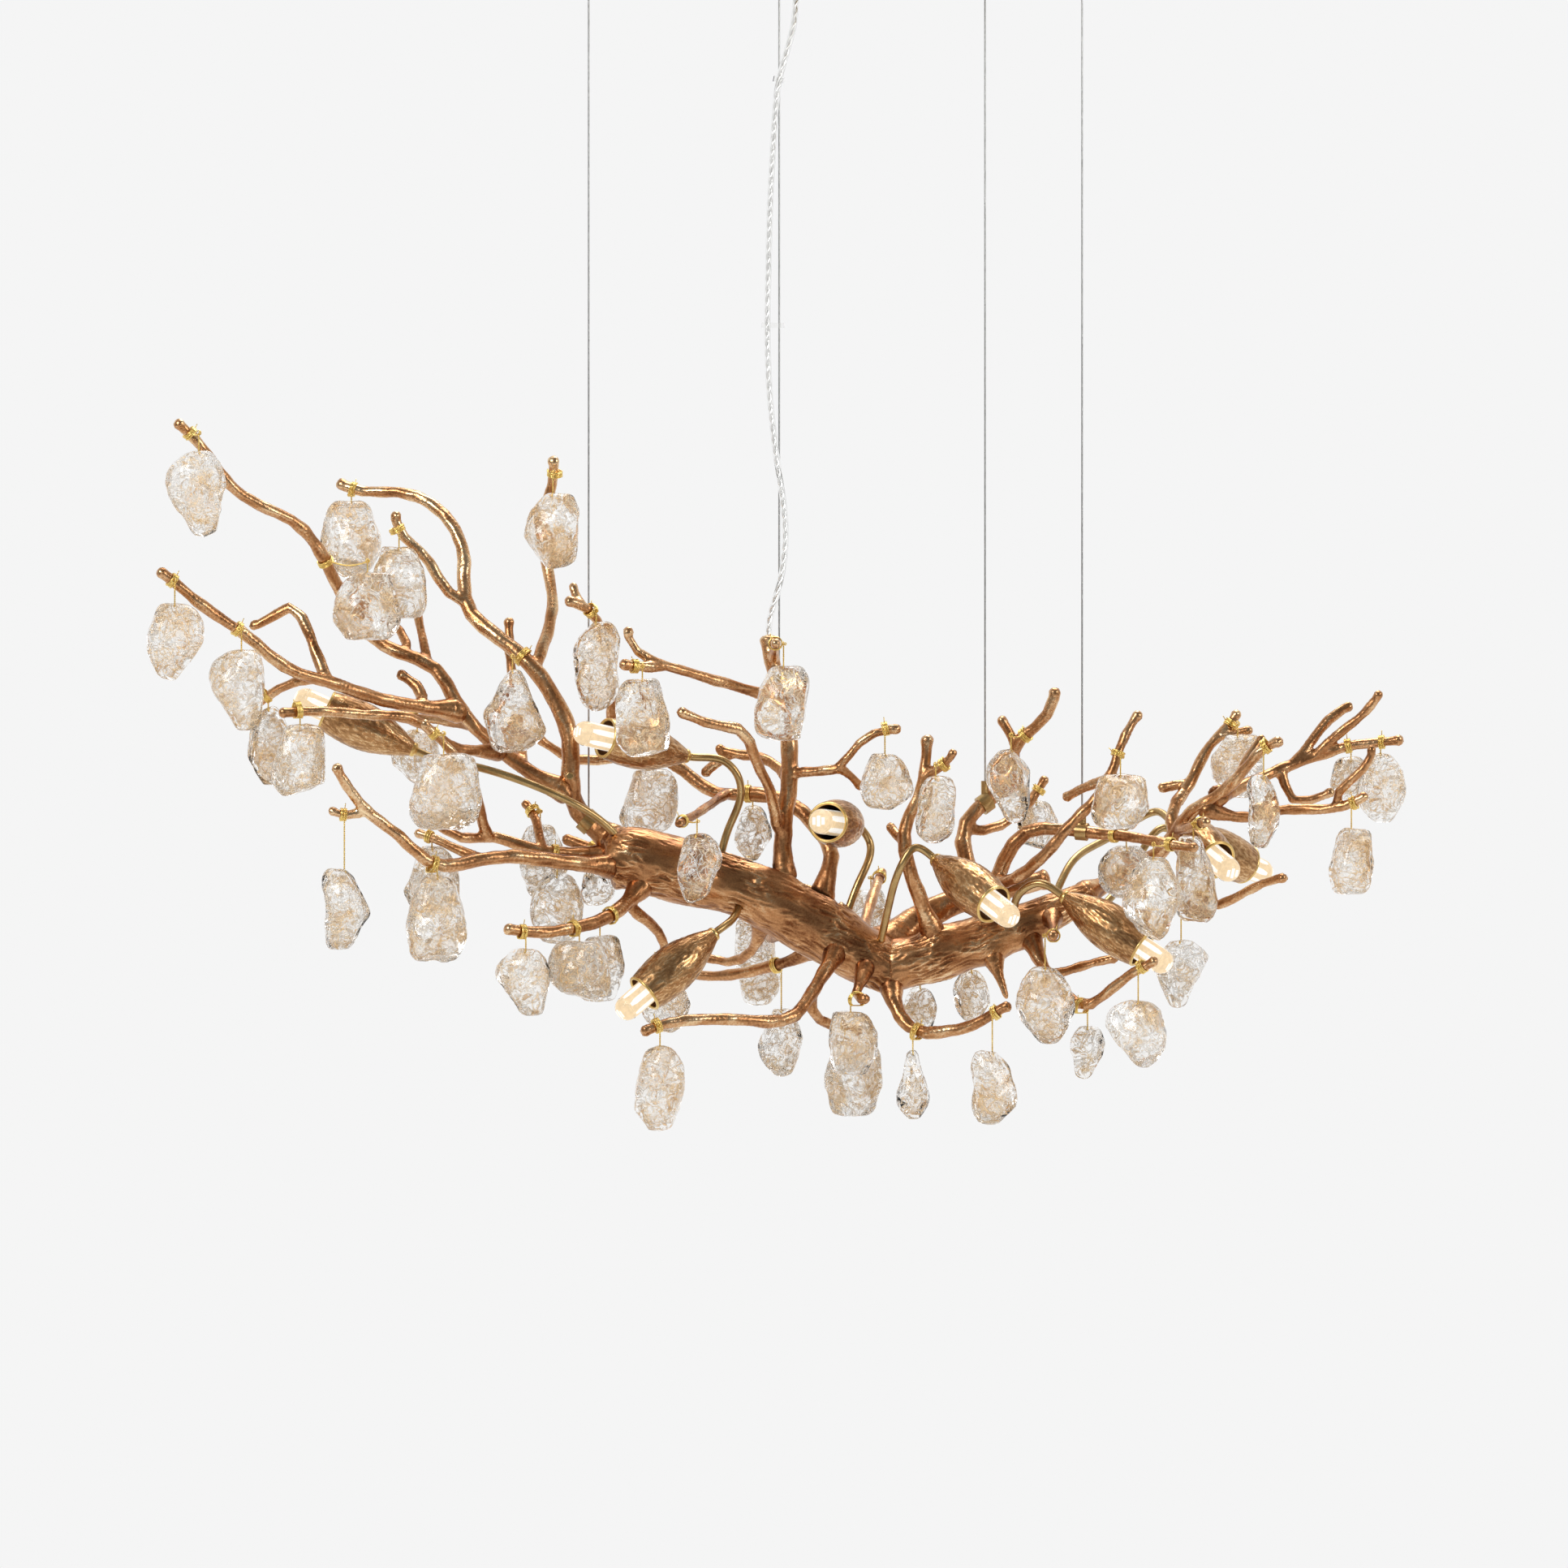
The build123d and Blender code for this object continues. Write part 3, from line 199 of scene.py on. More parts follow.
def alongOf(verts, faces, points):  # which way the nearest plain limb runs: its faces are long that way
    longest = []
    for face in faces:
        sides = [verts[b] - verts[a] for a, b in zip(face, face[1:] + face[:1])]
        side = max(sides, key=np.linalg.norm)
        longest.append(side / max(np.linalg.norm(side), 1e-9))
    plain = BVHTree.FromPolygons([Vector(v) for v in verts], faces)
    return np.array([longest[plain.find_nearest(Vector(p))[2]] for p in points])


def tube(points, radius, sides=6, closed=False):  # a round wire along points
    points = np.asarray(points, float)
    count = len(points)
    ahead = np.roll(points, -1, 0) - np.roll(points, 1, 0)
    if not closed:
        ahead[0], ahead[-1] = points[1] - points[0], points[-1] - points[-2]
    ahead /= np.linalg.norm(ahead, axis=1)[:, None]
    across = np.cross(ahead[0], (0, 0, 1))
    if np.linalg.norm(across) < 0.1:
        across = np.cross(ahead[0], (1, 0, 0))
    verts = []
    for point, along in zip(points, ahead):
        across = across - along * across.dot(along)
        across /= np.linalg.norm(across)
        other = np.cross(along, across)
        for side in range(sides):
            angle = 2 * math.pi * side / sides
            verts.append(point + radius * (math.cos(angle) * across + math.sin(angle) * other))
    faces = []
    for ring in range(count if closed else count - 1):
        after = (ring + 1) % count
        for side in range(sides):
            beside = (side + 1) % sides
            faces.append((ring * sides + side, ring * sides + beside, after * sides + beside, after * sides + side))
    if not closed:
        faces.append(tuple(reversed(range(sides))))
        faces.append(tuple(range((count - 1) * sides, count * sides)))
    return np.array(verts), faces


def twisted(points, strand, spread, pitch, sides=6):  # two strands wound round a line
    points = np.asarray(points, float)
    runs = np.concatenate([[0], np.cumsum(np.linalg.norm(np.diff(points, axis=0), axis=1))])
    steps = max(4, int(runs[-1] / pitch * 10))
    at = np.linspace(0, runs[-1], steps)
    line = np.stack([np.interp(at, runs, points[:, k]) for k in range(3)], 1)
    ahead = np.gradient(line, axis=0)
    ahead /= np.linalg.norm(ahead, axis=1)[:, None]
    across = np.cross(ahead[0], (0.31, 0.95, 0.05))
    strands = [[], []]
    for point, along, run in zip(line, ahead, at):
        across = across - along * across.dot(along)
        across /= np.linalg.norm(across)
        other = np.cross(along, across)
        angle = 2 * math.pi * run / pitch
        offset = spread * (math.cos(angle) * across + math.sin(angle) * other)
        strands[0].append(point + offset)
        strands[1].append(point - offset)
    return joined([tube(centres, strand, sides) for centres in strands])


def turned(profile, sides, place, relief=None):  # a profile (radius, height) spun round, set in place
    verts, faces = [], []
    for row, (radius, height) in enumerate(profile):
        for side in range(sides):
            angle = 2 * math.pi * side / sides
            grow = relief(row, side, height) if relief else 0
            verts.append(((radius + grow) * math.cos(angle), (radius + grow) * math.sin(angle), height))
    for row in range(len(profile) - 1):
        for side in range(sides):
            beside = (side + 1) % sides
            faces.append((row * sides + side, row * sides + beside,
                          (row + 1) * sides + beside, (row + 1) * sides + side))
    return np.array([place @ Vector(v) for v in verts]), faces


def smoothProfile(points, steps):  # a soft line through given profile points
    points = np.asarray(points, float)
    padded = np.concatenate([[2 * points[0] - points[1]], points, [2 * points[-1] - points[-2]]])
    line = []
    for k in range(len(points) - 1):
        a, b, c, d = padded[k:k + 4]
        for step in range(steps):
            t = step / steps
            bend, twist = 2 * a - 5 * b + 4 * c - d, 3 * b - a - 3 * c + d
            line.append(0.5 * (2 * b + (c - a) * t + bend * t ** 2 + twist * t ** 3))
    line.append(points[-1])
    return line


# shader helpers

def addNode(tree, kind, inputs=None, **settings):
    node = tree.nodes.new(kind)
    for name, value in settings.items():
        setattr(node, name, value)
    for name, value in (inputs or {}).items():
        if isinstance(value, bpy.types.NodeSocket):
            tree.links.new(value, node.inputs[name])
        else:
            node.inputs[name].default_value = value
    return node


def addRamp(tree, fac, stops):
    ramp = addNode(tree, "ShaderNodeValToRGB", {"Fac": fac})
    elements = ramp.color_ramp.elements
    while len(elements) < len(stops):
        elements.new(0.5)
    for element, (place, colour) in zip(elements, stops):
        element.position = place
        element.color = (*colour, 1)
    return ramp.outputs["Color"]


def newGroup(name, takes, gives):
    group = bpy.data.node_groups.new(name, "ShaderNodeTree")
    for socketName, kind, value in takes:
        socket = group.interface.new_socket(socketName, in_out="INPUT", socket_type="NodeSocket" + kind)
        socket.default_value = value
    for socketName, kind in gives:
        group.interface.new_socket(socketName, in_out="OUTPUT", socket_type="NodeSocket" + kind)
    return group, group.nodes.new("NodeGroupInput"), group.nodes.new("NodeGroupOutput")


def newMaterial(name, **sockets):
    material = bpy.data.materials.new(name)
    material.use_nodes = True
    tree = material.node_tree
    shader = tree.nodes["Principled BSDF"]
    for socketName, value in sockets.items():
        shader.inputs[socketName].default_value = value
    return material, tree, shader


def makeGlass(name, look):  # clear, with a faint wave in its surface
    material, tree, shader = newMaterial(name, Roughness=look["rough"], IOR=look["ior"])
    shader.inputs["Base Color"].default_value = (*look["colour"], 1)
    shader.inputs["Transmission Weight"].default_value = 1.0
    place = addNode(tree, "ShaderNodeTexCoord").outputs["Object"]
    wave = addNode(tree, "ShaderNodeTexNoise", {"Vector": place, "Scale": look["waveSize"]})
    bump = addNode(tree, "ShaderNodeBump", {"Height": wave.outputs["Fac"], "Strength": look["wave"],
                                            "Distance": look["waveDepth"]})
    tree.links.new(bump.outputs["Normal"], shader.inputs["Normal"])
    return material


def anyOf(tree, sockets):  # the largest of several masks
    result = sockets[0]
    for socket in sockets[1:]:
        result = addNode(tree, "ShaderNodeMath", {0: result, 1: socket}, operation="MAXIMUM").outputs[0]
    return result


# painted shade and highlight: the relief attribute darkens the hollows as painted shade and lightens the ridges as
# painted highlight, with cloudy drift and a fine cast grain as the metal's own tone
def makeShadeToneGroup():
    group, give, take = newGroup(
        "castPatina",
        [("Relief", "Float", 0.5), ("Dark", "Color", (0.1, 0.04, 0.02, 1)), ("Middle", "Color", (0.4, 0.2, 0.08, 1)),
         ("Bright", "Color", (0.8, 0.55, 0.25, 1)), ("Cloud size", "Float", 60.0), ("Grain size", "Float", 900.0),
         ("Dull", "Float", 0.0)],
        [("Color", "Color"), ("Roughness", "Float"), ("Height", "Float")])
    place = addNode(group, "ShaderNodeTexCoord").outputs["Object"]
    cloud = addNode(group, "ShaderNodeTexNoise", {"Vector": place, "Scale": give.outputs["Cloud size"], "Detail": 4.0})
    grain = addNode(group, "ShaderNodeTexNoise", {"Vector": place, "Scale": give.outputs["Grain size"], "Detail": 3.0})
    drift = addNode(group, "ShaderNodeMapRange", {"Value": cloud.outputs["Fac"], "From Min": 0.3, "From Max": 0.7,
                                                  "To Min": -0.12, "To Max": 0.12})
    fleck = addNode(group, "ShaderNodeMapRange", {"Value": grain.outputs["Fac"], "From Min": 0.35, "From Max": 0.65,
                                                  "To Min": -0.07, "To Max": 0.07})
    shade = addNode(group, "ShaderNodeMath", {0: give.outputs["Relief"], 1: drift.outputs["Result"]})
    shade = addNode(group, "ShaderNodeMath", {0: shade.outputs[0], 1: fleck.outputs["Result"]}, use_clamp=True)
    low = addNode(group, "ShaderNodeMapRange", {"Value": shade.outputs[0], "From Min": 0.1, "From Max": 0.5})
    high = addNode(group, "ShaderNodeMapRange", {"Value": shade.outputs[0], "From Min": 0.5, "From Max": 0.95})
    first = addNode(group, "ShaderNodeMix", {"Factor": low.outputs["Result"]}, data_type="RGBA")
    group.links.new(give.outputs["Dark"], first.inputs[6])
    group.links.new(give.outputs["Middle"], first.inputs[7])
    second = addNode(group, "ShaderNodeMix", {"Factor": high.outputs["Result"]}, data_type="RGBA")
    group.links.new(first.outputs[2], second.inputs[6])
    group.links.new(give.outputs["Bright"], second.inputs[7])
    rough = addNode(group, "ShaderNodeMapRange", {"Value": shade.outputs[0], "To Min": 0.4, "To Max": 0.2})
    group.links.new(second.outputs[2], take.inputs["Color"])
    dull = addNode(group, "ShaderNodeMath", {0: rough.outputs["Result"], 1: give.outputs["Dull"]})
    group.links.new(dull.outputs[0], take.inputs["Roughness"])
    group.links.new(grain.outputs["Fac"], take.inputs["Height"])
    return group


shadeToneGroup = makeShadeToneGroup()


def makeCastMetal(name, look):
    material, tree, shader = newMaterial(name, Metallic=1.0)
    values = {"Dark": (*look["dark"], 1), "Middle": (*look["middle"], 1), "Bright": (*look["bright"], 1),
              "Cloud size": look["cloud"], "Grain size": look["grain"], "Dull": look.get("dull", 0.0)}
    if look.get("relief", True):
        # relief: painted shade in the hollows, painted highlight on the ridges
        values["Relief"] = addNode(tree, "ShaderNodeAttribute", attribute_name="relief").outputs["Fac"]
    shadeTone = addNode(tree, "ShaderNodeGroup", values, node_tree=shadeToneGroup)
    bump = addNode(tree, "ShaderNodeBump", {"Height": shadeTone.outputs["Height"], "Strength": look["bump"],
                                            "Distance": 0.4 * mm})
    tree.links.new(shadeTone.outputs["Color"], shader.inputs["Base Color"])
    tree.links.new(shadeTone.outputs["Roughness"], shader.inputs["Roughness"])
    tree.links.new(bump.outputs["Normal"], shader.inputs["Normal"])
    return material


# where the relief attribute drives them, dark is painted shade in the hollows and bright is painted highlight on the
# ridges; without it they spread only the metal's own tone
metalLooks = {
    "antiqueBronze": {"dark": (0.18, 0.062, 0.022), "middle": (0.56, 0.278, 0.12), "bright": (0.98, 0.75, 0.46),
                      "cloud": 30.0, "grain": 800.0, "bump": 0.25},
    "leafBronze": {"dark": (0.18, 0.078, 0.03), "middle": (0.54, 0.298, 0.13), "bright": (0.97, 0.73, 0.43),
                   "cloud": 45.0, "grain": 1000.0, "bump": 0.2},
    "armBrass": {"dark": (0.20, 0.12, 0.05), "middle": (0.50, 0.33, 0.14), "bright": (0.80, 0.60, 0.30),
                 "cloud": 80.0, "grain": 1200.0, "bump": 0.12, "relief": False},
    "goldWire": {"dark": (0.60, 0.38, 0.09), "middle": (0.95, 0.69, 0.22), "bright": (1.0, 0.88, 0.48),
                 "cloud": 160.0, "grain": 1500.0, "bump": 0.1, "relief": False},
    "rimGold": {"dark": (0.45, 0.28, 0.09), "middle": (0.80, 0.55, 0.20), "bright": (0.98, 0.80, 0.45),
                "cloud": 90.0, "grain": 1200.0, "bump": 0.05, "relief": False},
    "canopyBrass": {"dark": (0.26, 0.16, 0.065), "middle": (0.42, 0.29, 0.12), "bright": (0.55, 0.42, 0.22),
                    "cloud": 14.0, "grain": 1600.0, "bump": 0.05, "relief": False, "dull": 0.26},
    "zincPlate": {"dark": (0.15, 0.15, 0.155), "middle": (0.26, 0.26, 0.265), "bright": (0.36, 0.36, 0.37),
                  "cloud": 60.0, "grain": 1500.0, "bump": 0.05, "relief": False, "dull": 0.26},
    "cableSteel": {"dark": (0.26, 0.26, 0.255), "middle": (0.52, 0.52, 0.51), "bright": (0.82, 0.82, 0.81),
                   "cloud": 300.0, "grain": 1500.0, "bump": 0.2, "relief": False},
    "tinnedWire": {"dark": (0.55, 0.55, 0.54), "middle": (0.78, 0.78, 0.77), "bright": (0.92, 0.92, 0.91),
                   "cloud": 200.0, "grain": 1500.0, "bump": 0.1, "relief": False},
    "fittingChrome": {"dark": (0.55, 0.55, 0.56), "middle": (0.72, 0.72, 0.73), "bright": (0.85, 0.85, 0.86),
                      "cloud": 40.0, "grain": 1600.0, "bump": 0.02, "relief": False},
}
metals = {name: makeCastMetal(name, look) for name, look in metalLooks.items()}
print("metals made")


# tree: each limb cast in one skin, knotty, its root flared where it meets the trunk
limbSettings = {
    "voxel": 1.25 * mm, "smoothing": 7, "grow": 0.4 * mm,
    "knotSize": 14 * mm, "knotHeight": 1.0 * mm, "grainSize": 3.6 * mm, "grainHeight": 0.5 * mm, "grainReach": 11 * mm,
    "twist": 0.22, "flareReach": 26 * mm, "flareHeight": 4.6 * mm, "rubbedFrom": 240 * mm,
    # tone values build the relief attribute: painted shade and painted highlight from grain and knots, painted shade at
    # the flare, lighter towards the tips
    "tone": 0.42, "toneGrain": 0.38, "toneKnots": 0.16, "toneFlare": -0.1, "toneRubbed": 0.24,
    "parents": {"upper_left_branch": ["arched_left_branch"], "left_branch": ["upper_left_branch"],
                "far_right_branch": ["right_branch"]},
    "limbs": ["arched_left_branch", "upper_left_branch", "left_branch", "low_left_branch", "under_left_branch",
              "centre_stem", "back_left_branch", "front_under_branch", "rear_under_branch", "under_right_branch",
              "centre_right_branch", "back_bough", "front_right_branch", "right_branch", "far_right_branch"],
}


def surfaceTree(*names):
    verts, faces = joined([solid for name in names for solid in solidsOf(name)])
    return BVHTree.FromPolygons([Vector(v) for v in verts], faces)


def castLimb(name, seed, s):
    verts, faces = joined(solidsOf(name))
    mesh = remeshed(verts, faces, s["voxel"], s["smoothing"], s["grow"])
    points, outward = coords(mesh), normals(mesh)
    knots = lumps(points, s["knotSize"], seed, 1)
    along = alongOf(verts, faces, points)
    along = along + s["twist"] * np.cross(outward, along)
    grain = streaks(points, along, s["grainSize"], seed + 40, s["grainReach"])
    carriers = surfaceTree("trunk_left", "trunk_right", *s["parents"].get(name, []))
    away = np.array([carriers.find_nearest(Vector(p))[3] for p in points])
    flare = np.clip(1 - away / s["flareReach"], 0, 1) ** 2
    height = s["knotHeight"] * knots + s["grainHeight"] * grain + s["flareHeight"] * flare
    setCoords(mesh, points + outward * height[:, None])
    # relief as painted shade and painted highlight: darker on the low grain and knots and lighter on the raised ones,
    # darker on the flare where the limb meets the trunk as painted shade, and lighter towards the tips, away from the
    # trunk
    graded = np.clip(away / s["rubbedFrom"], 0, 1)
    setRelief(mesh, s["tone"] + s["toneGrain"] * grain + s["toneKnots"] * knots + s["toneFlare"] * flare
              + s["toneRubbed"] * graded)
    putPiece(name + "_cast", mesh, metals["antiqueBronze"], [name])


for number, name in enumerate(limbSettings["limbs"]):
    castLimb(name, number, limbSettings)
print("limbs cast")

# trunk: two logs with bark running along them
trunkSettings = {
    "voxel": 1.05 * mm, "smoothing": 5, "grow": 0.2 * mm, "ridgeWide": 3.6, "ridgeLong": 20.0,
    "ridgeHeight": 1.0 * mm, "wander": 2.6, "wanderSize": 13, "patchSize": 24 * mm, "humpSize": 26 * mm,
    "humpHeight": 1.8 * mm, "collarReach": 15 * mm, "collarHeight": 3.4 * mm,
    "tone": 0.2, "toneRidges": 0.6, "toneHumps": 0.12,
    "logs": {"trunk_left": (0.93, 0.0, -0.37), "trunk_right": (0.94, 0.0, 0.34)},
}


def castLog(name, along, s):
    verts, faces = joined(solidsOf(name))
    mesh = remeshed(verts, faces, s["voxel"], s["smoothing"], s["grow"])
    points, outward = coords(mesh), normals(mesh)
    along = Vector(along).normalized()
    turn = along.rotation_difference(Vector((1, 0, 0))).to_matrix()
    ridges = []
    for p in points:
        q = turn @ Vector(p) / mm
        wander = s["wander"] * noise.noise(q / s["wanderSize"])
        spot = Vector((q.x / s["ridgeLong"], (q.y + wander) / s["ridgeWide"], (q.z - wander) / s["ridgeWide"]))
        ridges.append(1 - 2.0 * abs(noise.fractal(spot, 0.7, 2.0, 2)))
    ridges = np.array(ridges)
    humps = lumps(points, s["humpSize"], 5, 1)
    worn = np.clip(0.55 + 0.9 * lumps(points, s["patchSize"], 8, 2), 0.15, 1)  # bark here, worn smooth there
    ridges = 0.5 + (ridges - 0.5) * worn
    away = np.array([limbTree.find_nearest(Vector(p))[3] for p in points])
    collar = np.clip(1 - away / s["collarReach"], 0, 1) ** 2
    height = s["ridgeHeight"] * (ridges - 0.55) + s["humpHeight"] * humps + s["collarHeight"] * collar
    setCoords(mesh, points + outward * height[:, None])
    # relief as painted highlight on the bark ridges and raised humps, and painted shade in the grooves and low humps
    setRelief(mesh, s["tone"] + s["toneRidges"] * np.clip(ridges, 0, 1) ** 1.8 + s["toneHumps"] * humps)
    putPiece(name + "_bark", mesh, metals["antiqueBronze"], [name])


limbTree = surfaceTree(*limbSettings["limbs"])
for name, along in trunkSettings["logs"].items():
    castLog(name, along, trunkSettings)
print("trunk cast")

# glass: a clear pebble with flats, white crackle threads under its skin and a champagne cloud inside
glassSettings = {
    "voxel": 2.2 * mm, "smoothing": 6, "flats": 7, "flatDepth": (0.74, 0.93), "flatSoft": 1.6 * mm,
    "lumpSize": 17 * mm, "lumpHeight": 2.0 * mm, "rippleSize": 7 * mm, "rippleHeight": 0.6 * mm,
    "threadDepth": 2.0 * mm, "threadRough": 0.8 * mm, "cloudDepth": 5.5 * mm, "cloudVary": 4.0 * mm,
    "cloudRough": 1.3 * mm, "roughSize": 3.5 * mm,
    "clear": {"rough": 0.02, "ior": 1.38, "colour": (0.985, 0.975, 0.96), "waveSize": 130.0, "wave": 0.25,
              "waveDepth": 1.0 * mm},
}


# crackle: thin lines that wander in swirls, chips between them and a slow drift from clear to cloudy
def makeCrackleGroup():
    group, give, take = newGroup(
        "crackle", [("Size", "Float", 70.0), ("Turns", "Float", 9.0), ("Wide", "Float", 0.16)],
        [("Lines", "Float"), ("Chips", "Float"), ("Drift", "Float")])
    place = addNode(group, "ShaderNodeTexCoord").outputs["Object"]
    swirl = addNode(group, "ShaderNodeTexNoise", {"Vector": place, "Scale": give.outputs["Size"], "Detail": 2.0,
                                                  "Roughness": 0.45, "Distortion": 1.2})
    rings = addNode(group, "ShaderNodeMath", {0: swirl.outputs["Fac"], 1: give.outputs["Turns"]},
                    operation="MULTIPLY")
    rings = addNode(group, "ShaderNodeMath", {0: rings.outputs[0], 1: 0.5}, operation="PINGPONG")
    lines = addNode(group, "ShaderNodeMapRange", {"Value": rings.outputs[0], "From Min": 0.0,
                                                  "From Max": give.outputs["Wide"], "To Min": 1.0, "To Max": 0.0})
    chips = addNode(group, "ShaderNodeTexVoronoi", {"Vector": place, "Scale": 260.0})
    tone = addNode(group, "ShaderNodeSeparateColor", {"Color": chips.outputs["Color"]})
    drift = addNode(group, "ShaderNodeTexNoise", {"Vector": place, "Scale": 44.0, "Detail": 3.0})
    group.links.new(lines.outputs["Result"], take.inputs["Lines"])
    group.links.new(tone.outputs["Red"], take.inputs["Chips"])
    group.links.new(drift.outputs["Fac"], take.inputs["Drift"])
    return group


crackleGroup = makeCrackleGroup()


def makeCrackle(name, look):  # a sheet of crackle in the glass, clear where nothing is cracked
    material, tree, shader = newMaterial(name, Roughness=look["rough"])
    values = {"Size": look["size"], "Turns": look["turns"], "Wide": look["wide"]}
    crackle = addNode(tree, "ShaderNodeGroup", values, node_tree=crackleGroup)
    warm = addRamp(tree, crackle.outputs["Drift"], look["tints"])
    chip = addRamp(tree, crackle.outputs["Chips"], look["chips"])
    tint = addNode(tree, "ShaderNodeMix", {"Factor": 0.85}, data_type="RGBA", blend_type="MULTIPLY")
    tree.links.new(warm, tint.inputs[6])
    tree.links.new(chip, tint.inputs[7])
    cloud = addNode(tree, "ShaderNodeMapRange", {"Value": crackle.outputs["Drift"], "From Min": 0.44, "From Max": 0.64,
                                                 "To Min": 0.0, "To Max": look["cloudCover"]})
    cover = anyOf(tree, [crackle.outputs["Lines"], cloud.outputs["Result"]])
    bump = addNode(tree, "ShaderNodeBump", {"Height": crackle.outputs["Chips"], "Strength": 0.8,
                                            "Distance": 1.0 * mm})
    tree.links.new(tint.outputs[2], shader.inputs["Base Color"])
    tree.links.new(cover, shader.inputs["Alpha"])
    tree.links.new(bump.outputs["Normal"], shader.inputs["Normal"])
    return material


white = (1.0, 1.0, 1.0)
crackleLooks = {
    "threads": {"rough": 0.15, "size": 62.0, "turns": 5.5, "wide": 0.16, "cloudCover": 0.0,
                "tints": [(0.34, white), (0.43, (1.0, 0.98, 0.95)), (0.50, (1.0, 0.79, 0.53)),
                          (0.60, (0.92, 0.65, 0.35))],
                "chips": [(0.0, (0.58, 0.44, 0.30)), (0.25, (0.95, 0.86, 0.72)), (0.5, white), (1.0, white)]},
    "cloud": {"rough": 0.3, "size": 78.0, "turns": 6.0, "wide": 0.19, "cloudCover": 0.42,
              "tints": [(0.36, white), (0.44, (1.0, 0.96, 0.90)), (0.52, (1.0, 0.83, 0.60)),
                        (0.63, (0.95, 0.71, 0.42))],
              "chips": [(0.0, (0.70, 0.56, 0.40)), (0.25, (0.97, 0.92, 0.84)), (0.5, white), (1.0, white)]},
}
clearGlass = makeGlass("nuggetGlass", glassSettings["clear"])
crackleThreads = makeCrackle("nuggetThreads", crackleLooks["threads"])
champagneCloud = makeCrackle("nuggetCloud", crackleLooks["cloud"])


def cutFlats(points, seed, s):  # push the lump in behind soft-edged flats, none on its top
    chance = random.Random(seed)
    middle = (points.max(0) + points.min(0)) / 2
    for _ in range(s["flats"]):
        facing = Vector((chance.gauss(0, 1), chance.gauss(0, 1), chance.gauss(0, 0.6)))
        facing.z = min(facing.z, 0.3 * facing.length)
        facing = np.array(facing.normalized())
        reach = (points - middle) @ facing
        over = reach - reach.max() * chance.uniform(*s["flatDepth"])
        eased = np.clip(over + s["flatSoft"], 0, None) ** 2 / (4 * s["flatSoft"])
        push = np.where(over > s["flatSoft"], over, eased)
        points = points - np.outer(push, facing)
    return points


def blowNugget(verts, faces, seed, s):  # the clear outside, the threads and the cloud of one nugget
    shell = remeshed(verts, faces, s["voxel"], s["smoothing"])
    setCoords(shell, cutFlats(coords(shell), seed, s))
    points, outward = coords(shell), normals(shell)
    lump = lumps(points, s["lumpSize"], seed, 1)
    ripple = lumps(points, s["rippleSize"], seed + 9, 2)
    points = points + outward * (s["lumpHeight"] * (lump - 0.2) + s["rippleHeight"] * ripple)[:, None]
    rough = lumps(points, s["roughSize"], seed + 33, 2)
    drift = np.clip(lumps(points, 0.7 * s["lumpSize"], seed + 21, 2), -0.6, 1.3)
    depth = s["cloudDepth"] + s["cloudVary"] * drift
    threads = points - outward * (s["threadDepth"] + s["threadRough"] * rough)[:, None]
    cloud = points - outward * (depth - s["cloudRough"] * rough)[:, None]
    faces = [tuple(p.vertices) for p in shell.polygons]
    bpy.data.meshes.remove(shell)
    return (points, faces), (threads, faces), (cloud, faces)


# hanging wires: an eye at the top and two strands twisted down into the nugget
wireSettings = {
    "narrow": 8 * mm, "shankFrom": 5 * mm, "eyeDrop": 2.25 * mm, "eyeHigh": 4.5 * mm, "eyeRadius": 1.75 * mm,
    "eyeWire": 0.42 * mm, "shankDrop": 1.6 * mm, "strand": 0.36 * mm, "strandSpread": 0.33 * mm, "pitch": 3.4 * mm,
}


def hangWire(verts, s):  # read from the plain wire
    top, foot = verts[:, 2].max(), verts[:, 2].min()
    shank = verts[verts[:, 2] < top - s["shankFrom"]]
    x, y = shank[:, 0].mean(), shank[:, 1].mean()
    eye = np.array((x, y, top - s["eyeDrop"]))
    loop = verts[verts[:, 2] > top - s["eyeHigh"]] - eye
    side = np.array((*np.linalg.eigh(np.cov(loop[:, :2].T))[1][:, 1], 0.0))
    ring = [eye + s["eyeRadius"] * (math.cos(a) * side + math.sin(a) * np.array((0, 0, 1)))
            for a in np.linspace(0, 2 * math.pi, 18, endpoint=False)]
    shankLine = [eye - (0, 0, s["shankDrop"]), (x, y, foot)]
    return eye, joined([tube(ring, s["eyeWire"], 6, True),
                        twisted(shankLine, s["strand"], s["strandSpread"], s["pitch"], 5)])


def hangNuggets(name, body, seed):
    shells, threads, clouds, wires = [], [], [], []
    for verts, faces in solidsOf(name):
        size = verts.max(0) - verts.min(0)
        if min(size[0], size[1]) < wireSettings["narrow"]:
            eye, wire = hangWire(verts, wireSettings)
            eyes.append(eye)
            wires.append(wire)
        else:
            seed += 1
            shell, thread, cloud = blowNugget(verts, faces, seed, glassSettings)
            shells.append(shell)
            threads.append(thread)
            clouds.append(cloud)
    covers = [name]
    for ending, parts, material, slotName in (
            ("_glass", shells, clearGlass, "nugget_glass"), ("_threads", threads, crackleThreads, "nugget_glass"),
            ("_cloud", clouds, champagneCloud, "nugget_glass"), ("_wire", wires, metals["goldWire"], "gold_wire")):
        putPiece(name + ending, meshFrom(name + ending, *joined(parts)), material, covers, body)
        covers = ()  # the glass alone stands for the CAD node
    return seed


eyes = []
nuggetSeed = 100
for name in ("tight_nuggets_left", "tight_nuggets_right"):
    nuggetSeed = hangNuggets(name, "fixture", nuggetSeed)
for joint in frame["joints"]:
    nuggetSeed = hangNuggets(joint["child"], joint["child"], nuggetSeed)
print("nuggets hung,", len(eyes))

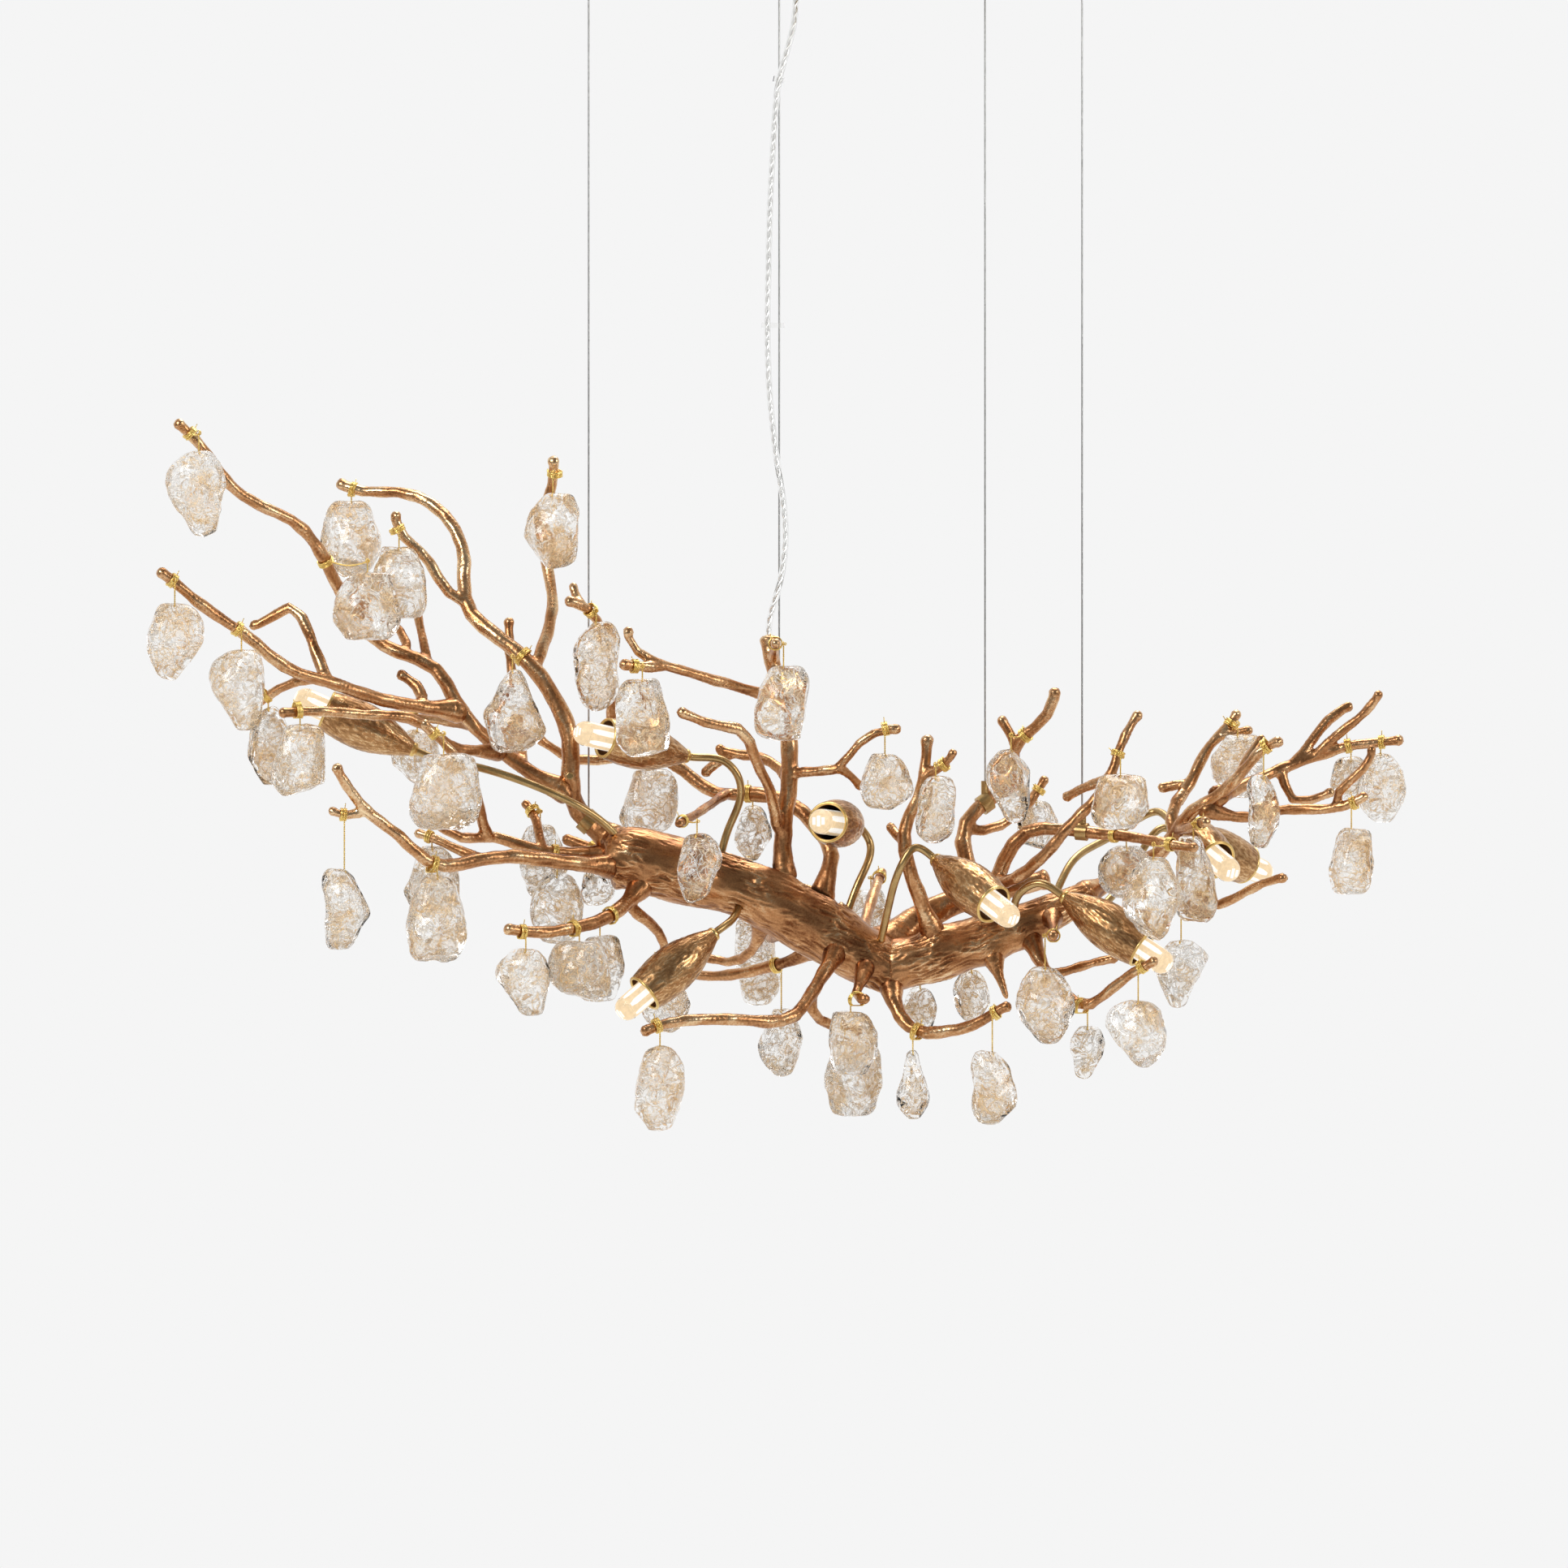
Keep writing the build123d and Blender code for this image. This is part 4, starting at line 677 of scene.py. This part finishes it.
# wire wraps: gold wire wound round the twig, with a hook that carries the eye
wrapSettings = {
    "wire": 0.48 * mm, "turns": 7, "spread": 7.5 * mm, "jitter": 0.25 * mm, "wobble": 0.15 * mm,
    "looseTurns": 1.15, "looseSlide": 0.4, "looseSink": 0.1 * mm, "tailLong": 2.4 * mm, "tailRise": 1.6 * mm,
    "hookStart": 0.8 * mm, "hookPast": 1.1 * mm, "hookShort": 0.2 * mm, "hookWire": 0.36 * mm,
    "hookSpread": 0.34 * mm, "hookPitch": 3.0 * mm, "sag": 0.3,
    "knobOut": 0.3 * mm, "knobRadius": 0.9 * mm, "knobWire": 0.5 * mm,
}


def sleeveOf(verts, faces):  # axis, middle and end corners of a plain sleeve: its flat ends have the largest area
    areas = {}
    for face in faces:
        a, b, c = (verts[i] for i in face[:3])
        cross = np.cross(b - a, c - a)
        area = np.linalg.norm(cross)
        if area < 1e-12:
            continue
        facing = cross / area
        if facing[np.argmax(np.abs(facing))] < 0:
            facing = -facing
        key = tuple(np.round(facing, 2))
        total = areas.setdefault(key, [0.0, np.zeros(3), np.zeros(3), []])
        total[0] += area
        total[1] += facing * area
        total[2] += (a + b + c) / 3 * area
        total[3] += list(face[:3])
    area, facing, moment, corners = max(areas.values(), key=lambda t: t[0])
    middle = moment / area
    return facing / np.linalg.norm(facing), middle, verts[sorted(set(corners))] - middle


def windWrap(verts, faces, seed, s):
    axis, middle, ends = sleeveOf(verts, faces)
    outer = np.max(np.linalg.norm(ends - np.outer(ends @ axis, axis), axis=1))
    spread = min(s["spread"], 2 * (np.max(np.abs(ends @ axis)) - s["wire"] - s["jitter"]))
    eye = min(eyes, key=lambda e: np.min(np.linalg.norm(verts - e, axis=1)))
    out = eye - middle
    out = out - np.array((0, 0, out[2]))
    out /= np.linalg.norm(out)
    side = np.cross(axis, out)
    side /= np.linalg.norm(side)
    face = np.cross(side, axis)

    def around(slide, radius, angle):
        return middle + axis * slide + radius * (math.cos(angle) * face + math.sin(angle) * side)

    start = random.Random(seed).uniform(0, 6.28)
    coil, count = [], s["turns"] * 14
    for step in range(count + 1):
        angle = start + 2 * math.pi * s["turns"] * step / count
        slide = spread * (step / count - 0.5) + s["jitter"] * math.sin(angle * 0.37 + start)
        coil.append(around(slide, outer - s["wire"] + s["wobble"] * math.sin(angle * 0.71), angle))
    loose = []
    last = (0.6 * math.pi + 0.4 * math.sin(start)) * (1 if side[2] > 0 else -1)
    for step in range(33):  # one loose turn laid across the others, its end turned up and away from the hook
        angle = last + 2 * math.pi * s["looseTurns"] * (step / 32 - 1)
        loose.append(around(s["looseSlide"] * spread * math.cos(angle * 0.8), outer - s["looseSink"], angle))
    lowest = verts[:, 2].min() + s["wire"]  # nothing wound hangs below the plain sleeve
    coil, loose = ([np.array((x, y, max(z, lowest))) for x, y, z in line] for line in (coil, loose))
    outward = (loose[-1] - middle) / np.linalg.norm(loose[-1] - middle)
    tail = loose[-1] + s["tailLong"] * outward + (0, 0, s["tailRise"])
    loose += [(loose[-1] + tail) / 2 + (0, 0, 0.25 * s["tailRise"]), tail]
    reach = np.linalg.norm((eye - middle)[:2]) + s["hookPast"]
    root = np.array((middle[0], middle[1], eye[2]))
    first, final = outer - s["hookStart"], reach - s["hookShort"]
    hook = [root + out * (first * (1 - t) + final * t) - (0, 0, s["sag"] * reach * t * (1 - t))
            for t in np.linspace(0, 1, 7)]
    knob = [hook[-1] + out * s["knobOut"] + s["knobRadius"] * (math.cos(a) * out + math.sin(a) * np.array((0, 0, 1)))
            for a in np.linspace(math.pi * 0.9, -math.pi * 0.7, 10)]
    return joined([tube(coil, s["wire"], 6), tube(loose, 0.8 * s["wire"], 6),
                   twisted(hook, s["hookWire"], s["hookSpread"], s["hookPitch"], 5), tube(knob, s["knobWire"], 6)])


wraps = [windWrap(verts, faces, number, wrapSettings)
         for number, (verts, faces) in enumerate(solidsOf("wire_wraps"))]
putPiece("wire_wraps_wound", meshFrom("wire_wraps_wound", *joined(wraps)), metals["goldWire"],
         ["wire_wraps"])
print("wraps wound,", len(wraps))

# lamps: chased leaf cups with a gold rim, on thin arms, each with a lit capsule
lampSettings = {
    "places": [((-331, -28, 27), (-68, 0, 31)), ((-117, -5, 22), (-62, -38, 14)), ((16, -4, -33), (-21, -71, 3)),
               ((80, -46, -60), (44, -50, -34)), ((-95, -42, -118), (-54, -24, -46)), ((181, -40, -89), (60, -20, -40)),
               ((275, 120, -40), (49, 42, -22)), ((268, 74, -30), (34, -60, -30))],
    "drop": 670, "sides": 112, "strokeHeight": 0.42, "strokeAt": 16, "strokeWide": 1.6, "strokeLong": 9.0,
    "strokeLean": 4.5, "footFade": 12, "lipFade": 5,
    # tone values build the relief attribute: painted highlight on the raised strokes, painted shade inside the cup
    "tone": 0.3, "toneStrokes": 0.42, "toneLip": 0.4, "toneInside": 0.06,
    "outside": [(5.2, 0), (7.4, 5), (10.4, 12), (13.5, 20.3), (16.6, 30), (18.5, 41.3), (18.7, 52), (17.8, 63),
                (15.9, 74.4)],
    "inside": [(14.0, 74.4), (15.6, 66), (16.6, 52), (16.2, 38), (13.6, 24), (11.4, 16.6)],
    "bottom": (0.02, 16.6), "rimRadius": 15.0, "rimHeight": 75, "rimWire": 1.25 * mm,
    "collar": [(3.3, -3), (4.2, -2.2), (5.4, -1.4), (5.9, 0.4), (5.6, 2.2), (5.9, 3.6)],
}


def lampPlace(tail, aim, s):
    spot = Vector((tail[0], tail[1], tail[2] - s["drop"])) * mm
    turn = Vector(aim).normalized().to_track_quat("Z", "Y").to_matrix().to_4x4()
    return Matrix.Translation(spot) @ turn @ Matrix.Scale(mm, 4)


def chaseCup(place, seed, s):
    profile = smoothProfile(s["outside"], 9)
    strokes = {}

    def relief(row, side, height):
        angle = 2 * math.pi * side / s["sides"]
        wide = s["strokeAt"] / s["strokeWide"]
        lean = s["strokeLean"] * math.sin(3 * angle + seed)
        spot = Vector((math.cos(angle) * wide, math.sin(angle) * wide, (height + lean) / s["strokeLong"]))
        value = 1 - 2.2 * abs(noise.fractal(spot + Vector((seed * 3.7, seed, seed * 2.1)), 0.8, 2.2, 2))
        strokes[(row, side)] = value
        fade = min(1, height / s["footFade"]) * min(1, (s["rimHeight"] - height) / s["lipFade"])
        return s["strokeHeight"] * fade * (value - 0.4)

    outside = turned(profile, s["sides"], place, relief)
    inside = turned(smoothProfile(s["inside"], 3) + [s["bottom"]], s["sides"], place)
    lip = turned([profile[-1], s["inside"][0]], s["sides"], place)
    # relief as painted highlight on the raised strokes and painted shade inside the cup; the lip a little lighter than
    # the outside
    values = [s["tone"] + s["toneStrokes"] * max(0, strokes[(row, side)]) ** 1.7
              for row in range(len(profile)) for side in range(s["sides"])]
    values += [s["toneLip"]] * len(lip[0]) + [s["toneInside"]] * len(inside[0])
    rimLine = [place @ Vector((s["rimRadius"] * math.cos(a), s["rimRadius"] * math.sin(a), s["rimHeight"]))
               for a in np.linspace(0, 2 * math.pi, 64, endpoint=False)]
    collar = turned(smoothProfile(s["collar"], 4), 40, place)
    return joined([outside, lip, inside]), values, joined([tube(rimLine, s["rimWire"], 10, True), collar])


cupParts, cupValues, rimParts = [], [], []
lampPlaces = [lampPlace(tail, aim, lampSettings) for tail, aim in lampSettings["places"]]
for number, place in enumerate(lampPlaces):
    cup, values, rim = chaseCup(place, number, lampSettings)
    cupParts.append(cup)
    cupValues += values
    rimParts.append(rim)
cupMesh = meshFrom("lamp_cups_chased", *joined(cupParts))
setRelief(cupMesh, np.array(cupValues))
putPiece("lamp_cups_chased", cupMesh, metals["leafBronze"], ["lamp_cups"])
putPiece("lamp_cup_rims", meshFrom("lamp_cup_rims", *joined(rimParts)), metals["rimGold"])

# bulbs: a clear capsule round a warm column, with lit strips along it and on its end
bulbSettings = {
    "capsule": [(8.0, 47), (9.6, 49), (10.0, 52), (10.0, 90), (9.7, 94.5), (8.4, 98.6), (6.0, 101.4), (3.0, 102.7),
                (0.05, 103)],
    "base": [(0.05, 34), (8.0, 34), (8.2, 36), (8.2, 45), (7.6, 47.2), (0.05, 47.2)],
    "column": [(8.3, 47.3), (8.3, 91.5), (7.6, 95.8), (5.4, 99.2), (2.6, 100.6), (0.05, 100.9)],
    "strips": 6, "stripWide": 4.4, "stripFrom": 52.0, "stripTo": 92.5, "stripAt": 8.45, "stripBulge": 0.55,
    "stripRows": 9, "stripColumns": 5,
    "endStrips": 3, "endWide": 2.7, "endLong": 8.4, "endAt": 101.2, "endApart": 1.35,
    "stripColour": (1.0, 0.96, 0.90), "stripGlow": 1.15, "columnColour": (1.0, 0.76, 0.47), "columnGlow": 0.9,
    "glass": {"rough": 0.04, "ior": 1.2, "colour": (1.0, 0.985, 0.955), "waveSize": 90.0, "wave": 0.08,
              "waveDepth": 1.0 * mm},
}


def makeGlow(name, colour, strength):
    material, tree, shader = newMaterial(name, Roughness=0.4)
    place = addNode(tree, "ShaderNodeTexCoord").outputs["Object"]
    dots = addNode(tree, "ShaderNodeTexNoise", {"Vector": place, "Scale": 380.0, "Detail": 2.0})
    glow = addRamp(tree, dots.outputs["Fac"], [(0.3, tuple(0.82 * c for c in colour)), (0.7, colour)])
    tree.links.new(glow, shader.inputs["Emission Color"])
    shader.inputs["Base Color"].default_value = (*(0.12 * c for c in colour), 1)
    shader.inputs["Emission Strength"].default_value = strength
    return material


def makePlain(name, colour, rough, speckle):
    material, tree, shader = newMaterial(name)
    place = addNode(tree, "ShaderNodeTexCoord").outputs["Object"]
    cloud = addNode(tree, "ShaderNodeTexNoise", {"Vector": place, "Scale": speckle, "Detail": 4.0})
    tint = addRamp(tree, cloud.outputs["Fac"], [(0.3, tuple(0.88 * c for c in colour)), (0.7, colour)])
    graded = addNode(tree, "ShaderNodeMapRange", {"Value": cloud.outputs["Fac"], "To Min": rough - 0.08,
                                                  "To Max": rough + 0.1})
    tree.links.new(tint, shader.inputs["Base Color"])
    tree.links.new(graded.outputs["Result"], shader.inputs["Roughness"])
    return material


stripGlow = makeGlow("stripGlow", bulbSettings["stripColour"], bulbSettings["stripGlow"])
columnGlow = makeGlow("columnGlow", bulbSettings["columnColour"], bulbSettings["columnGlow"])
capsuleGlass = makeGlass("capsuleGlass", bulbSettings["glass"])
holderWhite = makePlain("holderWhite", (0.84, 0.83, 0.79), 0.42, 300.0)
slotBlack = makePlain("slotBlack", (0.03, 0.03, 0.032), 0.45, 200.0)


def glowStrip(place, angle, s):
    turn = Matrix.Rotation(angle, 4, "Z")
    verts, faces = [], []
    columns = s["stripColumns"]
    for height in np.linspace(s["stripFrom"], s["stripTo"], s["stripRows"]):
        end = min(1, min(height - s["stripFrom"], s["stripTo"] - height) / 2.0 + 0.55)
        for k in np.linspace(-1, 1, columns):
            verts.append((s["stripAt"] + s["stripBulge"] * (1 - k * k), 0.5 * s["stripWide"] * k * end, height))
    for row in range(s["stripRows"] - 1):
        for k in range(row * columns, row * columns + columns - 1):
            faces.append((k, k + 1, k + columns + 1, k + columns))
    return np.array([place @ turn @ Vector(v) for v in verts]), faces


def endStrip(place, offset, s):
    x, y = 0.5 * s["endWide"], 0.5 * s["endLong"] - 0.35 * abs(offset)
    corners = [(offset - x, -y), (offset + x, -y), (offset + x, y), (offset - x, y)]
    return np.array([place @ Vector((a, b, s["endAt"])) for a, b in corners]), [(0, 1, 2, 3)]


capsules, bases, columns, strips = [], [], [], []
for place in lampPlaces:
    capsules.append(turned(smoothProfile(bulbSettings["capsule"], 4), 32, place))
    bases.append(turned(bulbSettings["base"], 32, place))
    columns.append(turned(smoothProfile(bulbSettings["column"], 3), 28, place))
    for k in range(bulbSettings["strips"]):
        strips.append(glowStrip(place, 2 * math.pi * (k + 0.25) / bulbSettings["strips"], bulbSettings))
    for k in range(bulbSettings["endStrips"]):
        offset = bulbSettings["endApart"] * bulbSettings["endWide"] * (k - 1)
        strips.append(endStrip(place, offset, bulbSettings))
putPiece("bulb_capsules", meshFrom("bulb_capsules", *joined(capsules)), capsuleGlass, ["bulbs"])
putPiece("bulb_bases", meshFrom("bulb_bases", *joined(bases)), holderWhite)
putPiece("bulb_columns", meshFrom("bulb_columns", *joined(columns)), columnGlow)
putPiece("bulb_strips", meshFrom("bulb_strips", *joined(strips)), stripGlow)
print("lamps made")

# cables and the power cord
cordSettings = {
    "drop": 670, "radius": 2.5 * mm, "strand": 0.85 * mm, "spread": 0.95 * mm, "pitch": 17 * mm, "length": 0.53,
    "sheath": {"rough": 0.06, "ior": 1.12, "colour": (0.97, 0.97, 0.965), "waveSize": 120.0, "wave": 0.1,
               "waveDepth": 0.5 * mm},
    "route": [(-51.2, 4.4, 112), (-52.4, 5.4, 122), (-49.5, 4, 137), (-45, 2, 150), (-40, 1, 172), (-38, 1, 197),
              (-40, 2, 222), (-45, 3, 253), (-49, 2, 285), (-52, 3, 318), (-53, 4, 362), (-52, 3, 407), (-51, 4, 452),
              (-49, 3, 492), (-47, 4, 528), (-44, 2, 556), (-36, -2, 582), (-30, -4, 606), (-30, -4, 638)],
}


def newLine(name, points, radius, material):
    curve = bpy.data.curves.new(name, "CURVE")
    curve.dimensions = "3D"
    spline = curve.splines.new("NURBS")
    spline.points.add(len(points) - 1)
    for control, point in zip(spline.points, points):
        control.co = (*point, 1)
    spline.order_u = 3
    spline.use_endpoint_u = True
    curve.resolution_u = 8
    curve.bevel_depth = radius
    curve.bevel_resolution = 4
    curve.use_fill_caps = True
    curve.materials.append(material)
    line = bpy.data.objects.new(name, curve)
    scene.collection.objects.link(line)
    return line


def smoothPoints(points, material):  # where a line through the given points really runs
    line = newLine("bare_line", points, 0, material)
    curve = line.data
    graph = bpy.context.evaluated_depsgraph_get()
    graph.update()
    mesh = bpy.data.meshes.new_from_object(line.evaluated_get(graph))
    smooth = coords(mesh)
    bpy.data.meshes.remove(mesh)
    bpy.data.objects.remove(line)
    bpy.data.curves.remove(curve)
    return smooth


clearSheath = makeGlass("clearSheath", cordSettings["sheath"])
route = [(x * mm, y * mm, (z - cordSettings["drop"]) * mm) for x, y, z in cordSettings["route"]]
cord = newLine("power_cord_sheath", route, cordSettings["radius"], clearSheath)
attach(cord, "fixture")
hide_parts("power_cord")
cordLine = smoothPoints(route, clearSheath)
strandMesh = meshFrom("power_cord_strands", *twisted(cordLine, cordSettings["strand"], cordSettings["spread"],
                                                     cordSettings["pitch"], 8))
strands = putPiece("power_cord_strands", strandMesh, metals["tinnedWire"])

for name in ("cable_far_left", "cable_cord_side", "cable_right", "cable_far_right"):
    low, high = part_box(name)
    middle = (low + high) / 2
    heights = np.linspace(low.z, high.z, 6)
    cable = newLine(name + "_rope", [(middle.x, middle.y, z) for z in heights], 0.75 * mm, metals["cableSteel"])
    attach(cable, "fixture")
    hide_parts(name)
print("cables and cord laid")

# CAD nodes that stay, each with its finish
keptLooks = {
    "lamp_arms": metals["armBrass"], "set_screws": metals["armBrass"], "cable_saddles": metals["armBrass"],
    "cable_grippers": metals["fittingChrome"], "ceiling_canopy": metals["canopyBrass"],
    "canopy_screws": metals["rimGold"], "mounting_bar": metals["zincPlate"], "canopy_brackets": metals["zincPlate"],
    "lampholders": holderWhite, "terminal_block": holderWhite, "cord_gland": holderWhite,
    "slot_cover": slotBlack, "cord_ties": clearSheath,
}
for name, material in keptLooks.items():
    nodes[name].data.materials.clear()
    nodes[name].data.materials.append(material)

# floor, world and lamps
studioSettings = {
    "floorHeight": -1.45, "floorRadius": 2.7, "floorSides": 96, "white": 0.913, "fill": 0.55, "frontGloss": 0.18,
    "lamps": [("key", (-1.9, -2.4, 0.9), 1.3, 46), ("side", (2.4, -1.6, 0.2), 1.1, 20),
              ("top", (0.2, 0.9, 1.5), 1.4, 30)],
    "aim": (0, 0, -0.67),
}


def makeWorld(s):  # white behind the object, dimmer as light, darker in front as a reflection
    world = bpy.data.worlds.new("studio")
    scene.world = world
    world.use_nodes = True
    tree = world.node_tree
    back = tree.nodes["Background"]
    path = addNode(tree, "ShaderNodeLightPath")
    seen = anyOf(tree, [path.outputs["Is Camera Ray"], path.outputs["Is Transmission Ray"]])
    towards = addNode(tree, "ShaderNodeTexCoord").outputs["Generated"]
    axes = addNode(tree, "ShaderNodeSeparateXYZ", {"Vector": towards})
    gloss = addNode(tree, "ShaderNodeMapRange", {"Value": axes.outputs["Y"], "From Min": -0.5, "From Max": 0.6,
                                                 "To Min": s["frontGloss"], "To Max": s["white"]})
    dull = addNode(tree, "ShaderNodeMix", {"Factor": path.outputs["Is Glossy Ray"], "A": s["fill"],
                                           "B": gloss.outputs["Result"]})
    level = addNode(tree, "ShaderNodeMix", {"Factor": seen, "A": dull.outputs[0], "B": s["white"]})
    back.inputs["Color"].default_value = (1, 1, 1, 1)
    tree.links.new(level.outputs[0], back.inputs["Strength"])


def makeFloor(s):  # fades into the world's white towards its rim
    material, tree, shader = newMaterial("paleFloor", Roughness=0.9)
    shader.inputs["Base Color"].default_value = (0.85, 0.85, 0.85, 1)
    path = addNode(tree, "ShaderNodeLightPath")
    seen = anyOf(tree, [path.outputs["Is " + ray + " Ray"] for ray in ("Camera", "Glossy", "Transmission")])
    place = addNode(tree, "ShaderNodeTexCoord").outputs["Object"]
    out = addNode(tree, "ShaderNodeVectorMath", {0: place}, operation="LENGTH")
    plain = addNode(tree, "ShaderNodeMapRange", {"Value": out.outputs["Value"], "From Min": 0.3 * s["floorRadius"],
                                                 "From Max": 0.95 * s["floorRadius"], "To Min": 0.8, "To Max": 1.0})
    share = addNode(tree, "ShaderNodeMath", {0: seen, 1: plain.outputs["Result"]}, operation="MULTIPLY")
    glow = addNode(tree, "ShaderNodeEmission", {"Color": (1, 1, 1, 1), "Strength": s["white"]})
    mix = addNode(tree, "ShaderNodeMixShader", {"Fac": share.outputs[0], 1: shader.outputs[0], 2: glow.outputs[0]})
    tree.links.new(mix.outputs[0], tree.nodes["Material Output"].inputs["Surface"])
    rim = [(s["floorRadius"] * math.cos(a), s["floorRadius"] * math.sin(a), 0)
           for a in np.linspace(0, 2 * math.pi, s["floorSides"], endpoint=False)]
    floor = meshFrom("floor", rim, [tuple(range(s["floorSides"]))])
    floor.materials.append(material)
    floorObject = bpy.data.objects.new("floor", floor)
    floorObject.location.z = s["floorHeight"]
    scene.collection.objects.link(floorObject)


def placeLamps(s):
    for name, place, size, power in s["lamps"]:
        data = bpy.data.lights.new(name, "AREA")
        data.shape = "DISK"
        data.size = size
        data.energy = power
        lamp = bpy.data.objects.new(name, data)
        lamp.location = place
        lamp.rotation_euler = (Vector(s["aim"]) - Vector(place)).to_track_quat("-Z", "Y").to_euler()
        scene.collection.objects.link(lamp)


makeWorld(studioSettings)
makeFloor(studioSettings)
placeLamps(studioSettings)
print("studio lit")
